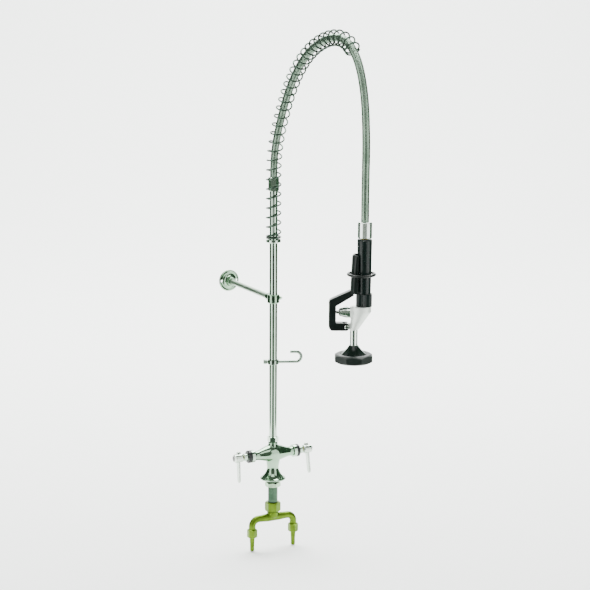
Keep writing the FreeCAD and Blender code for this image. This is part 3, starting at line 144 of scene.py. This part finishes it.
def wire_round(tree, path, scale, radius, sides, finish):
    """The closing nodes of a swept piece: a round section along a path, realized and finished."""
    ring = tree.nodes.new("GeometryNodeCurvePrimitiveCircle")
    ring.inputs["Resolution"].default_value = sides
    tree.links.new(radius, ring.inputs["Radius"])
    sweep = tree.nodes.new("GeometryNodeCurveToMesh")
    sweep.inputs["Fill Caps"].default_value = True
    tree.links.new(path, sweep.inputs["Curve"])
    tree.links.new(ring.outputs["Curve"], sweep.inputs["Profile Curve"])
    if scale is not None:
        tree.links.new(scale, sweep.inputs["Scale"])
    realize = tree.nodes.new("GeometryNodeRealizeInstances")
    paint = tree.nodes.new("GeometryNodeSetMaterial")
    tree.links.new(sweep.outputs["Mesh"], realize.inputs["Geometry"])
    tree.links.new(realize.outputs["Geometry"], paint.inputs["Geometry"])
    tree.links.new(finish, paint.inputs["Material"])
    return paint.outputs["Geometry"]


def grown(name, points, tree, values, finish):
    """A finished mesh object: the tree's result on a line through points."""
    mesh = bpy.data.meshes.new(name)
    mesh.from_pydata(points, [(n, n + 1) for n in range(len(points) - 1)], [])
    seed = bpy.data.objects.new(name + "_line", mesh)
    collection.objects.link(seed)
    modifier = seed.modifiers.new("shape", "NODES")
    modifier.node_group = tree
    for item in tree.interface.items_tree:
        if item.in_out != "INPUT" or item.name == "Geometry":
            continue
        modifier[item.identifier] = finish if item.name == "Finish" else values[item.name]
    bpy.context.view_layer.update()
    evaluated = seed.evaluated_get(bpy.context.evaluated_depsgraph_get())
    result = bpy.data.meshes.new_from_object(evaluated)
    seed.modifiers.remove(modifier)
    bpy.data.objects.remove(seed)
    piece = bpy.data.objects.new(name, result)
    collection.objects.link(piece)
    for polygon in result.polygons:
        polygon.use_smooth = True
    return piece


def new_finish(name):
    """An empty procedural material: its nodes, its links, its shader and object coordinates."""
    material = bpy.data.materials.new(name)
    material.use_nodes = True
    tree = material.node_tree
    shader = tree.nodes["Principled BSDF"]
    place = tree.nodes.new("ShaderNodeTexCoord").outputs["Object"]
    return material, tree, shader, place


def mottle(tree, place, scale, detail=3.0, stretch=(1, 1, 1)):
    """A cloudy noise on the object's own coordinates, from 0 to 1."""
    mapping = tree.nodes.new("ShaderNodeMapping")
    mapping.inputs["Scale"].default_value = stretch
    noise = tree.nodes.new("ShaderNodeTexNoise")
    noise.inputs["Scale"].default_value = scale
    noise.inputs["Detail"].default_value = detail
    tree.links.new(place, mapping.inputs["Vector"])
    tree.links.new(mapping.outputs["Vector"], noise.inputs["Vector"])
    return noise.outputs["Fac"]


def spread(tree, value, low, high):
    """A 0 to 1 value spread between two numbers."""
    node = tree.nodes.new("ShaderNodeMapRange")
    node.inputs["From Min"].default_value = 0.3
    node.inputs["From Max"].default_value = 0.7
    node.inputs["To Min"].default_value = low
    node.inputs["To Max"].default_value = high
    tree.links.new(value, node.inputs["Value"])
    return node.outputs["Result"]


def blend_colours(tree, value, first, second):
    """A colour between two colours, led by a 0 to 1 value."""
    node = tree.nodes.new("ShaderNodeMix")
    node.data_type = "RGBA"
    node.inputs["A"].default_value = (*first, 1)
    node.inputs["B"].default_value = (*second, 1)
    tree.links.new(value, node.inputs["Factor"])
    return node.outputs["Result"]


def bump(tree, shader, height, distance, strength=1.0):
    """Small relief on a shader, its height in metres at full value."""
    node = tree.nodes.new("ShaderNodeBump")
    node.inputs["Strength"].default_value = strength
    node.inputs["Distance"].default_value = distance
    tree.links.new(height, node.inputs["Height"])
    tree.links.new(node.outputs["Normal"], shader.inputs["Normal"])


def plated(name, bright, dull, rough_low, rough_high, ripple):
    """Chrome plate: a mirror with faint clouding, fine wipe marks and a slow ripple."""
    material, tree, shader, place = new_finish(name)
    shader.inputs["Metallic"].default_value = 1.0
    clouds = mottle(tree, place, 38, 4)
    wipes = mottle(tree, place, 900, 2, (1, 1, 0.12))
    tone = spread(tree, clouds, 0.0, 1.0)
    tree.links.new(blend_colours(tree, tone, bright, dull), shader.inputs["Base Color"])
    haze = maths(tree, "ADD", spread(tree, clouds, rough_low, rough_high),
                 spread(tree, wipes, 0.0, 0.025))
    tree.links.new(haze, shader.inputs["Roughness"])
    bump(tree, shader, mottle(tree, place, 60, 2), ripple)
    return material


# The cover's colour is painted far darker and greener than stainless steel: painted shade for the
# hose's dark look, and the light's green cast.
hose_steel_painted_shade = plated("hose_cover_painted_shade", (0.27, 0.36, 0.28), (0.16, 0.23, 0.17),
                           0.16, 0.28, 0.0)


def ribbed_hose_tree():
    """A round hose whose radius dips once in every rib."""
    tree, given, result = shape_tree("ribbed_hose", ["Radius", "Rib", "Depth"])
    path = tree.nodes.new("GeometryNodeMeshToCurve")
    tree.links.new(given.outputs["Geometry"], path.inputs["Mesh"])
    even = tree.nodes.new("GeometryNodeResampleCurve")
    even.mode = "LENGTH"
    tree.links.new(path.outputs["Curve"], even.inputs["Curve"])
    tree.links.new(maths(tree, "DIVIDE", given.outputs["Rib"], 6.0), even.inputs["Length"])
    along = tree.nodes.new("GeometryNodeSplineParameter").outputs["Length"]
    wave = maths(tree, "SINE", maths(tree, "DIVIDE", maths(tree, "MULTIPLY", along, math.tau),
                                     given.outputs["Rib"]))
    dip = maths(tree, "POWER", maths(tree, "MULTIPLY_ADD", wave, 0.5, 0.5), 2.0)
    share = maths(tree, "DIVIDE", maths(tree, "MULTIPLY", dip, given.outputs["Depth"]),
                  given.outputs["Radius"])
    scale = maths(tree, "SUBTRACT", 1.0, share)
    sweep = wire_round(tree, even.outputs["Curve"], scale, given.outputs["Radius"], 28,
                       given.outputs["Finish"])
    tree.links.new(sweep, result.inputs["Geometry"])
    return tree


hose_line = smooth_line("hose_route", hose_points)
hose = grown("hose_cover", hose_line, ribbed_hose_tree(),
             {"Radius": HOSE_OD / 2, "Rib": HOSE_RIB, "Depth": HOSE_RIB_DEPTH}, hose_steel_painted_shade)
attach(hose, "overhead")
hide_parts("hose")

# Overhead spring. One length of drawn stainless wire, wound right-handed, with closed turns that
# sit on the collar and one at the open end. It holds the hose up over the sink.

SPRING_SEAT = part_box("spring_collar")[1].z
SPRING_OD = 0.0335
SPRING_WIRE = 0.0034
SPRING_PITCH = 0.0203
CLOSED_PITCH = 0.0038
CLOSED_TURNS = 1.5
SPRING_TURNS = 34
SEAT_GAP = 0.0004

# The wire's colour is painted near black and green, far darker than stainless steel: painted shade
# for the coil's dark look, and the light's green cast.
spring_painted_shade = plated("spring_wire_painted_shade", (0.07, 0.11, 0.08), (0.035, 0.06, 0.045),
                       0.12, 0.24, 0.0)


def coil_tree():
    """A round wire wound about a line that lies in the plane X = 0, closed at both ends."""
    sizes = ["Radius", "Wire", "Pitch", "Closed Pitch", "Closed Turns", "Length"]
    tree, given, result = shape_tree("overhead_coil", sizes)
    path = tree.nodes.new("GeometryNodeMeshToCurve")
    tree.links.new(given.outputs["Geometry"], path.inputs["Mesh"])
    trim = tree.nodes.new("GeometryNodeTrimCurve")
    trim.mode = "LENGTH"
    tree.links.new(path.outputs["Curve"], trim.inputs["Curve"])
    trim.inputs["Start_001"].default_value = 0.0
    tree.links.new(given.outputs["Length"], trim.inputs["End_001"])
    fine = tree.nodes.new("GeometryNodeResampleCurve")
    fine.mode = "LENGTH"
    fine.inputs["Length"].default_value = 0.00025
    tree.links.new(trim.outputs["Curve"], fine.inputs["Curve"])
    along = tree.nodes.new("GeometryNodeSplineParameter").outputs["Length"]
    closed = given.outputs["Closed Turns"]
    tight = given.outputs["Closed Pitch"]
    opened = maths(tree, "SUBTRACT", along, maths(tree, "MULTIPLY", closed, tight))
    open_turns = maths(tree, "DIVIDE", opened, given.outputs["Pitch"])
    lower = maths(tree, "MINIMUM", maths(tree, "DIVIDE", along, tight),
                  maths(tree, "ADD", closed, open_turns))
    left = maths(tree, "SUBTRACT", given.outputs["Length"], along)
    last = maths(tree, "SUBTRACT", 1.0, maths(tree, "DIVIDE", left, tight))
    rest = maths(tree, "SUBTRACT", given.outputs["Length"],
                 maths(tree, "MULTIPLY", maths(tree, "ADD", closed, 1.0), tight))
    total = maths(tree, "ADD", closed, maths(tree, "DIVIDE", rest, given.outputs["Pitch"]))
    turns = maths(tree, "MAXIMUM", lower, maths(tree, "ADD", total, last))
    angle = maths(tree, "MULTIPLY", turns, math.tau)
    sideways = tree.nodes.new("ShaderNodeVectorMath")
    sideways.operation = "CROSS_PRODUCT"
    tangent = tree.nodes.new("GeometryNodeInputTangent").outputs["Tangent"]
    tree.links.new(tangent, sideways.inputs[0])
    sideways.inputs[1].default_value = (1, 0, 0)
    arms = []
    for direction, swing in (((1, 0, 0), "COSINE"), (sideways.outputs[0], "SINE")):
        arm = tree.nodes.new("ShaderNodeVectorMath")
        arm.operation = "SCALE"
        if isinstance(direction, tuple):
            arm.inputs[0].default_value = direction
        else:
            tree.links.new(direction, arm.inputs[0])
        tree.links.new(maths(tree, "MULTIPLY", maths(tree, swing, angle), given.outputs["Radius"]),
                       arm.inputs["Scale"])
        arms.append(arm.outputs[0])
    offset = tree.nodes.new("ShaderNodeVectorMath")
    tree.links.new(arms[0], offset.inputs[0])
    tree.links.new(arms[1], offset.inputs[1])
    wind = tree.nodes.new("GeometryNodeSetPosition")
    tree.links.new(fine.outputs["Curve"], wind.inputs["Geometry"])
    tree.links.new(offset.outputs[0], wind.inputs["Offset"])
    even = tree.nodes.new("GeometryNodeResampleCurve")
    even.mode = "LENGTH"
    even.inputs["Length"].default_value = 0.0028
    tree.links.new(wind.outputs["Geometry"], even.inputs["Curve"])
    sweep = wire_round(tree, even.outputs["Curve"], None,
                       maths(tree, "MULTIPLY", given.outputs["Wire"], 0.5), 14,
                       given.outputs["Finish"])
    tree.links.new(sweep, result.inputs["Geometry"])
    return tree


coil_start = Vector((0, 0, SPRING_SEAT + SEAT_GAP + SPRING_WIRE / 2))
coil_length = (CLOSED_TURNS + 1) * CLOSED_PITCH + (SPRING_TURNS - CLOSED_TURNS - 1) * SPRING_PITCH
coil = grown("overhead_spring_wire", [coil_start] + hose_line, coil_tree(), {
    "Radius": (SPRING_OD - SPRING_WIRE) / 2, "Wire": SPRING_WIRE, "Pitch": SPRING_PITCH,
    "Closed Pitch": CLOSED_PITCH, "Closed Turns": CLOSED_TURNS, "Length": coil_length,
}, spring_painted_shade)
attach(coil, "overhead")
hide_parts("spring")

# Studio. A pale floor that sweeps up into a pale wall behind. Two tall soft lights stand in front,
# left and right, one stands high in front, and dark cloths that only reflections see hang round
# them, so that the chrome shows white bands between dark ones. A wide light whitens the sweep.

FLOOR = cad_box[0][2] - 0.002
STUDIO_DEPTH = 5.0
SWEEP_ROUND = 2.0
CLOTH_LIFT = 0.001
CLOTH_TOP = 2.6
APRON_HALF = 27
SIDE_LIGHT_TURN = 58
SIDE_LIGHT_AIM = (0, 0, 0.75)


def toward(azimuth, distance, height):
    """A point at an angle round the faucet from the camera's own side, and at a height."""
    angle = CAMERA_TURN + math.radians(azimuth)
    return (math.sin(angle) * distance, -math.cos(angle) * distance, height)


def paper(name, colour, shade):
    """Matt studio paper or cloth with a barely seen grain."""
    material, tree, shader, place = new_finish(name)
    grain = mottle(tree, place, 3, 2)
    tree.links.new(blend_colours(tree, grain, colour, shade), shader.inputs["Base Color"])
    shader.inputs["Roughness"].default_value = 1.0
    return material


def stage_sheet(name, corners, faces, material):
    """A sheet of the studio, which isn't part of the faucet."""
    mesh = bpy.data.meshes.new(name)
    mesh.from_pydata(corners, [], faces)
    sheet = bpy.data.objects.new(name, mesh)
    collection.objects.link(sheet)
    for polygon in mesh.polygons:
        polygon.use_smooth = True
    mesh.materials.append(material)
    return sheet


def studio_sweep():
    """Floor and back wall in one sheet with a large round between them."""
    profile = [(-STUDIO_DEPTH, 0.0)]
    for step in range(25):
        angle = math.pi / 2 * step / 24
        profile.append((STUDIO_DEPTH - SWEEP_ROUND + SWEEP_ROUND * math.sin(angle),
                        SWEEP_ROUND - SWEEP_ROUND * math.cos(angle)))
    profile.append((STUDIO_DEPTH, 5.0))
    corners = [(side, along, FLOOR + up) for along, up in profile
               for side in (-STUDIO_DEPTH, STUDIO_DEPTH)]
    faces = [(2 * n, 2 * n + 1, 2 * n + 3, 2 * n + 2) for n in range(len(profile) - 1)]
    white = paper("studio_paper", (0.93, 0.95, 0.93), (0.91, 0.93, 0.91))
    sweep = stage_sheet("studio_sweep", corners, faces, white)
    sweep.rotation_euler[2] = CAMERA_TURN


dark_cloth = paper("studio_dark_cloth", (0.004, 0.02, 0.008), (0.006, 0.026, 0.011))


def reflected_cloth(name, corners):
    """A dark cloth that only mirror reflections see: it hides nothing and casts no shadow."""
    cloth = stage_sheet(name, corners, [(0, 1, 2, 3)], dark_cloth)
    cloth.visible_camera = False
    cloth.visible_diffuse = False
    cloth.visible_shadow = False


def dark_wall(name, near, far, top):
    """An upright dark cloth between two (azimuth, distance) spots on the floor."""
    low = FLOOR + CLOTH_LIFT
    corners = [toward(*near, low), toward(*far, low), toward(*far, top), toward(*near, top)]
    reflected_cloth(name, corners)


def area_light(name, place, towards, width, height, power):
    """A large soft light that faces a point."""
    data = bpy.data.lights.new(name, "AREA")
    data.shape = "RECTANGLE"
    data.size = width
    data.size_y = height
    data.energy = power
    light = bpy.data.objects.new(name, data)
    light.location = place
    light.rotation_euler = (Vector(towards) - Vector(place)).to_track_quat("-Z", "Y").to_euler()
    collection.objects.link(light)


studio_sweep()
dark_wall("left_cloth", (-64, 1.06), (-151, 2.1), CLOTH_TOP)
dark_wall("right_cloth", (64, 1.06), (151, 2.1), CLOTH_TOP)
apron = [toward(azimuth, distance, FLOOR + CLOTH_LIFT) for azimuth, distance in (
    (-APRON_HALF, 0.62), (APRON_HALF, 0.62), (APRON_HALF, 4.6), (-APRON_HALF, 4.6))]
reflected_cloth("front_cloth", apron)
area_light("left_light", toward(-SIDE_LIGHT_TURN, 2.2, 1.05), SIDE_LIGHT_AIM, 2.2, 2.4, 42)
area_light("right_light", toward(SIDE_LIGHT_TURN, 2.2, 1.05), SIDE_LIGHT_AIM, 2.2, 2.4, 34)
area_light("top_light", toward(0, 2.0, 2.7), toward(0, 0, 0.5), 2.0, 1.4, 26)
area_light("back_wash", toward(180, 2.0, 3.7), toward(180, 2.6, FLOOR), 6.0, 3.4, 1000)

world = bpy.data.worlds.new("studio_air")
bpy.context.scene.world = world
world.use_nodes = True
world.node_tree.nodes["Background"].inputs["Color"].default_value = (0.19, 0.22, 0.19, 1)
world.node_tree.nodes["Background"].inputs["Strength"].default_value = 1.0

# Faucet body. A one-piece brass casting: bell foot, waist, two cross arms and a socket for the
# riser. Its corners are fettled until they run into each other, then it is polished and plated.

BODY_VOXEL = 0.0009


def finish_node(name, material):
    """Give a CAD node one finish all over."""
    node = nodes[name]
    node.data.materials.clear()
    node.data.materials.append(material)


def smooth_shaded(mesh, angle):
    """Smooth shading, with edges sharper than an angle kept crisp."""
    for polygon in mesh.polygons:
        polygon.use_smooth = True
    mesh.set_sharp_from_angle(angle=math.radians(angle))


def fettled(name, node, body, material, voxel, rounds, sharp=50):
    """A casting or moulding: the CAD node's shape with its edges and corners rubbed round."""
    mesh = nodes[node].data.copy()
    piece = bpy.data.objects.new(name, mesh)
    collection.objects.link(piece)
    weld = piece.modifiers.new("weld", "WELD")
    weld.merge_threshold = 0.00002
    skin = piece.modifiers.new("skin", "REMESH")
    skin.mode = "VOXEL"
    skin.voxel_size = voxel
    rub = piece.modifiers.new("rub", "SMOOTH")
    rub.factor = 0.5
    rub.iterations = rounds
    bpy.context.view_layer.update()
    evaluated = piece.evaluated_get(bpy.context.evaluated_depsgraph_get())
    result = bpy.data.meshes.new_from_object(evaluated)
    piece.modifiers.clear()
    piece.data = result
    bpy.data.meshes.remove(mesh)
    result.materials.clear()
    result.materials.append(material)
    smooth_shaded(result, sharp)
    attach(piece, body)
    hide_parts(node)
    return piece


# The plate's colour is painted darker and greener than chrome: painted shade that dims the floor's
# reflection in the body, and the light's green cast.
cast_chrome_painted_shade = plated("cast_chrome_plate", (0.32, 0.46, 0.33), (0.23, 0.36, 0.24),
                     0.05, 0.12, 0.00003)
fettled("cast_body", "faucet_body", "faucet", cast_chrome_painted_shade, BODY_VOXEL, 14)

# Valve bonnets. Two turned brass bonnets close the cross arms and hold the valve stems, each with
# a black moulded ring clipped round it. Bright chrome plate on the bonnets.


def moulded(name, colour, worn, rough_low, rough_high, relief):
    """Black moulded plastic or rubber with a faint grain and paler rubbed patches."""
    material, tree, shader, place = new_finish(name)
    clouds = mottle(tree, place, 45, 4)
    tree.links.new(blend_colours(tree, spread(tree, clouds, 0, 1), colour, worn),
                   shader.inputs["Base Color"])
    tree.links.new(spread(tree, clouds, rough_low, rough_high), shader.inputs["Roughness"])
    shader.inputs["Specular IOR Level"].default_value = 0.35
    bump(tree, shader, mottle(tree, place, 1400, 2), relief)
    return material


bonnet_chrome = plated("bonnet_chrome_plate", (0.52, 0.65, 0.53), (0.42, 0.55, 0.43),
                       0.05, 0.1, 0.0)
ring_plastic = moulded("ring_black_plastic", (0.001, 0.004, 0.003), (0.003, 0.007, 0.005),
                       0.22, 0.34, 0.00001)
for node in ("hot_bonnet", "cold_bonnet"):
    finish_node(node, bonnet_chrome)
for node in ("hot_bonnet_ring", "cold_bonnet_ring"):
    finish_node(node, ring_plastic)

# Ceramic valves. Inside each arm a fixed and a turning ceramic disc, a turned brass stem that
# turns the second one, and a rubber ring that seals the stem in its bonnet.

ceramic = moulded("valve_ceramic", (0.85, 0.85, 0.80), (0.80, 0.80, 0.76), 0.2, 0.3, 0.0)
stem_brass = plated("stem_brass", (0.62, 0.54, 0.22), (0.50, 0.43, 0.17), 0.24, 0.36, 0.00002)
seal_rubber = moulded("seal_rubber", (0.006, 0.010, 0.008), (0.012, 0.018, 0.015),
                      0.45, 0.6, 0.00002)
for side in ("hot", "cold"):
    finish_node(side + "_fixed_disc", ceramic)
    finish_node(side + "_turning_disc", ceramic)
    finish_node(side + "_stem", stem_brass)
    finish_node(side + "_stem_o_ring", seal_rubber)

# Lever handles. Die-cast zinc hubs with one flat blade each, plated so bright that the blades look
# nearly white. A steel screw holds each handle on its stem.

HANDLE_VOXEL = 0.0004

lever_chrome = plated("lever_chrome_plate", (0.62, 0.70, 0.62), (0.52, 0.60, 0.52),
                      0.08, 0.16, 0.00001)
for side in ("hot", "cold"):
    fettled(side + "_handle_casting", side + "_lever", side + "_handle",
            lever_chrome, HANDLE_VOXEL, 5)
    finish_node(side + "_lever_screw", bonnet_chrome)

# Index buttons. A thin plated cap snapped into the end of each hub, with a dark moulded disc let
# into its middle. Its outer rim stays bright.

BUTTON_RIM = 0.0062
BUTTON_EDGE = 0.0003
VALVE_HEIGHT = 0.057


def ringed(name, centre, edge, middle, rim):
    """Dark moulded middle within a chrome rim, by distance from a line along X."""
    material, tree, shader, place = new_finish(name)
    mapping = tree.nodes.new("ShaderNodeMapping")
    mapping.inputs["Location"].default_value = (0, 0, -centre)
    tree.links.new(place, mapping.inputs["Vector"])
    flat = tree.nodes.new("ShaderNodeVectorMath")
    flat.operation = "MULTIPLY"
    flat.inputs[1].default_value = (0, 1, 1)
    tree.links.new(mapping.outputs["Vector"], flat.inputs[0])
    length = tree.nodes.new("ShaderNodeVectorMath")
    length.operation = "LENGTH"
    tree.links.new(flat.outputs[0], length.inputs[0])
    ramp = tree.nodes.new("ShaderNodeMapRange")
    ramp.inputs["From Min"].default_value = edge - BUTTON_EDGE
    ramp.inputs["From Max"].default_value = edge + BUTTON_EDGE
    tree.links.new(length.outputs["Value"], ramp.inputs["Value"])
    clouds = mottle(tree, place, 400, 3)
    tree.links.new(blend_colours(tree, ramp.outputs["Result"], middle, rim),
                   shader.inputs["Base Color"])
    tree.links.new(ramp.outputs["Result"], shader.inputs["Metallic"])
    tree.links.new(spread(tree, clouds, 0.10, 0.22), shader.inputs["Roughness"])
    return material


button_finish = ringed("index_button_face", VALVE_HEIGHT, BUTTON_RIM, (0.022, 0.012, 0.010),
                       (0.80, 0.88, 0.80))
for node in ("hot_index_button", "cold_index_button"):
    finish_node(node, button_finish)

# Riser. Three-eighths inch pipe in polished chrome plate, held in the body by a hex nut, with a
# turned collar below its top that the spring sits on and a long hex nut where the hose screws on.

tube_chrome = plated("tube_chrome_plate", (0.56, 0.69, 0.57), (0.47, 0.60, 0.48), 0.03, 0.07, 0.0)
for node in ("riser", "riser_nut", "spring_collar", "hose_nut"):
    finish_node(node, tube_chrome)

# Wall bracket. A cast clamp round the riser with a pinch screw in its ear, a rod in pale satin
# plate that slides in the clamp, and a cast wall flange that two small screws hold on the rod.

BRACKET_VOXEL = 0.0005

# The clamp and flange castings take the body's plate, its colour painted darker and greener as
# painted shade.
fettled("clamp_casting", "bracket_clamp", "faucet", cast_chrome_painted_shade, BRACKET_VOXEL, 6)
fettled("wall_flange_casting", "wall_flange", "faucet", cast_chrome_painted_shade,
        BRACKET_VOXEL, 6)
rod_satin = plated("rod_satin_plate", (0.46, 0.56, 0.46), (0.38, 0.48, 0.38), 0.30, 0.42, 0.00001)
finish_node("bracket_rod", rod_satin)
for node in ("clamp_screw", "set_screws"):
    finish_node(node, tube_chrome)

# Finger hook. A small ring on the riser with a bent wire hook brazed to it, where the spray valve
# is hung up, and a knurled thumb screw that holds the ring at any height.

hook_chrome = plated("hook_chrome_plate", (0.34, 0.42, 0.35), (0.26, 0.33, 0.27), 0.06, 0.12, 0.0)
finish_node("finger_hook", hook_chrome)
finish_node("hook_thumb_screw", hook_chrome)

# Under the deck. The shank is half inch pipe in a duller plate, its colour painted near black and
# green: painted shade for the dark reflections it shows, and the light's green cast. A chromed hex
# nut and a black gasket clamp the deck.
# An inner brass tube with two rubber rings carries the hot water.

shank_painted_shade = plated("shank_painted_dark_plate", (0.06, 0.11, 0.07), (0.025, 0.05, 0.03),
                     0.14, 0.26, 0.00001)
nut_plate = plated("lock_nut_plate", (0.40, 0.56, 0.38), (0.30, 0.45, 0.29), 0.12, 0.22, 0.00002)
finish_node("shank", shank_painted_shade)
finish_node("lock_nut", nut_plate)
finish_node("deck_gasket", seal_rubber)
finish_node("inner_tube", stem_brass)
finish_node("tube_o_rings", seal_rubber)

# Supply tee. Unplated brass: a coupling nut, a cast tee with two bent legs, two hex check unions
# with moulded poppets inside, and two turned inlet tips.

TEE_VOXEL = 0.0006

# The brass colour is painted dark and green, not brass yellow: painted shade and the light's green
# cast.
brass = plated("raw_brass", (0.12, 0.20, 0.018), (0.08, 0.14, 0.013), 0.30, 0.44, 0.00005)
fettled("tee_casting", "supply_tee", "faucet", brass, TEE_VOXEL, 8)
for node in ("coupling_nut", "check_unions", "inlet_tips"):
    finish_node(node, brass)
finish_node("check_poppets", ring_plastic)

# Grip. The hose ends in a plated ferrule that turns on a brass tube. The tube passes down through
# a tapered sleeve of smooth black plastic, where a hand holds the valve.

ferrule_chrome = plated("ferrule_chrome_plate", (0.90, 0.95, 0.90), (0.82, 0.89, 0.82),
                        0.06, 0.12, 0.0)
grip_plastic = moulded("grip_black_plastic", (0.001, 0.006, 0.005), (0.002, 0.008, 0.007),
                       0.26, 0.32, 0.000001)
finish_node("hose_ferrule", ferrule_chrome)
finish_node("grip_tube", stem_brass)
finish_node("grip_sleeve", grip_plastic)

# Grip collar. A black moulded nut with fine flutes all round, which screws the grip to the valve.
# The flutes end flush at both faces of the nut.

FLUTES = 30
FLUTE_DEPTH = 0.0007
COLLAR_BORE = 0.0181
BORE_SIDES = 48
MERGE_GAP = 0.00001


def fluted_nut_tree():
    """A round nut with flutes round it and a plain bore, standing up from one height."""
    tree, given, result = shape_tree("fluted_nut", ["Radius", "Flute Depth", "Bore", "Foot",
                                                    "Height"])
    star = tree.nodes.new("GeometryNodeCurveStar")
    star.inputs["Points"].default_value = FLUTES
    tree.links.new(given.outputs["Radius"], star.inputs["Outer Radius"])
    tree.links.new(maths(tree, "SUBTRACT", given.outputs["Radius"], given.outputs["Flute Depth"]),
                   star.inputs["Inner Radius"])
    bore = tree.nodes.new("GeometryNodeCurvePrimitiveCircle")
    bore.inputs["Resolution"].default_value = BORE_SIDES
    tree.links.new(given.outputs["Bore"], bore.inputs["Radius"])
    outline = tree.nodes.new("GeometryNodeJoinGeometry")
    tree.links.new(star.outputs["Curve"], outline.inputs["Geometry"])
    tree.links.new(bore.outputs["Curve"], outline.inputs["Geometry"])
    face = tree.nodes.new("GeometryNodeFillCurve")
    tree.links.new(outline.outputs["Geometry"], face.inputs["Curve"])
    raised = tree.nodes.new("GeometryNodeExtrudeMesh")
    raised.inputs["Individual"].default_value = False
    tree.links.new(face.outputs["Mesh"], raised.inputs["Mesh"])
    tree.links.new(given.outputs["Height"], raised.inputs["Offset Scale"])
    under = tree.nodes.new("GeometryNodeFlipFaces")
    tree.links.new(face.outputs["Mesh"], under.inputs["Mesh"])
    closed = tree.nodes.new("GeometryNodeJoinGeometry")
    tree.links.new(raised.outputs["Mesh"], closed.inputs["Geometry"])
    tree.links.new(under.outputs["Mesh"], closed.inputs["Geometry"])
    merged = tree.nodes.new("GeometryNodeMergeByDistance")
    merged.inputs["Distance"].default_value = MERGE_GAP
    tree.links.new(closed.outputs["Geometry"], merged.inputs["Geometry"])
    lift = tree.nodes.new("GeometryNodeTransform")
    spot = tree.nodes.new("ShaderNodeCombineXYZ")
    tree.links.new(given.outputs["Foot"], spot.inputs["Z"])
    spot.inputs["Y"].default_value = -REACH
    tree.links.new(spot.outputs["Vector"], lift.inputs["Translation"])
    tree.links.new(merged.outputs["Geometry"], lift.inputs["Geometry"])
    realize = tree.nodes.new("GeometryNodeRealizeInstances")
    paint = tree.nodes.new("GeometryNodeSetMaterial")
    tree.links.new(lift.outputs["Geometry"], realize.inputs["Geometry"])
    tree.links.new(realize.outputs["Geometry"], paint.inputs["Geometry"])
    tree.links.new(given.outputs["Finish"], paint.inputs["Material"])
    tree.links.new(paint.outputs["Geometry"], result.inputs["Geometry"])
    return tree


collar_low, collar_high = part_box("grip_collar")
collar = grown("fluted_grip_collar", [collar_low, collar_high], fluted_nut_tree(), {
    "Radius": (collar_high.x - collar_low.x) / 2, "Flute Depth": FLUTE_DEPTH,
    "Bore": COLLAR_BORE / 2, "Foot": collar_low.z, "Height": collar_high.z - collar_low.z,
}, grip_plastic)
smooth_shaded(collar.data, 30)
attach(collar, "spray_valve")
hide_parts("grip_collar")

# Spray valve body. A brass casting, blasted before plating to a pale satin finish; its colour is
# painted near white and half metallic as painted light, so that it stays white against the dark
# cloth's reflection. Its outlet is a bright chromed tube, and a turned bonnet on its side guides
# the valve's stem.

VALVE_VOXEL = 0.0004

valve_satin_painted_light = plated("valve_satin_plate", (0.94, 0.98, 0.93), (0.86, 0.92, 0.86),
                     0.42, 0.52, 0.00001)
valve_satin_painted_light.node_tree.nodes["Principled BSDF"].inputs["Metallic"].default_value = 0.5
fettled("valve_casting", "valve_body", "spray_valve", valve_satin_painted_light, VALVE_VOXEL, 8)
outlet_chrome = plated("outlet_chrome_plate", (0.84, 0.92, 0.84), (0.76, 0.85, 0.76),
                       0.12, 0.2, 0.0)
finish_node("outlet_tube", outlet_chrome)
finish_node("stem_bonnet", outlet_chrome)
finish_node("valve_seat", stem_brass)
finish_node("lever_pivot_screw", ferrule_chrome)

# Valve stem. A steel rod that the lever pushes, with a rubber washer on its end that opens the
# valve and a coiled steel spring that closes it again.

stem_steel = plated("valve_stem_steel", (0.60, 0.66, 0.60), (0.50, 0.56, 0.50), 0.18, 0.28, 0.0)
finish_node("valve_stem", stem_steel)
finish_node("stem_washer", seal_rubber)
finish_node("return_spring", stem_steel)

# Squeeze lever. One black moulding, a long finger plate that bends out round the valve to its
# pivot under the stem. A plain wire ring, dipped black, slips over lever and grip to hold it open.

LEVER_VOXEL = 0.0005

lever_plastic = moulded("lever_black_plastic", (0.002, 0.005, 0.004), (0.004, 0.008, 0.007),
                        0.26, 0.38, 0.000003)
ring_finish = moulded("ring_black_dip", (0.002, 0.005, 0.004), (0.003, 0.007, 0.005),
                      0.3, 0.42, 0.000008)
fettled("lever_moulding", "squeeze_lever", "lever", lever_plastic,
        LEVER_VOXEL, 6)
finish_node("hold_ring", ring_finish)

# Spray head. A black cone with a thick rubber bumper round its foot, so that the head doesn't
# scratch plates, and a plated spray face with its holes in the mouth of the bumper.

HEAD_VOXEL = 0.0005

cone_plastic = moulded("cone_black_plastic", (0.002, 0.006, 0.004), (0.003, 0.009, 0.006),
                       0.10, 0.2, 0.000004)
bumper_rubber = moulded("bumper_rubber", (0.003, 0.008, 0.006), (0.006, 0.013, 0.010),
                        0.34, 0.5, 0.000006)
fettled("spray_cone", "spray_head", "spray_valve", cone_plastic, HEAD_VOXEL, 4)
fettled("rubber_bumper", "spray_bumper", "spray_valve", bumper_rubber,
        HEAD_VOXEL, 5)
finish_node("spray_face", outlet_chrome)
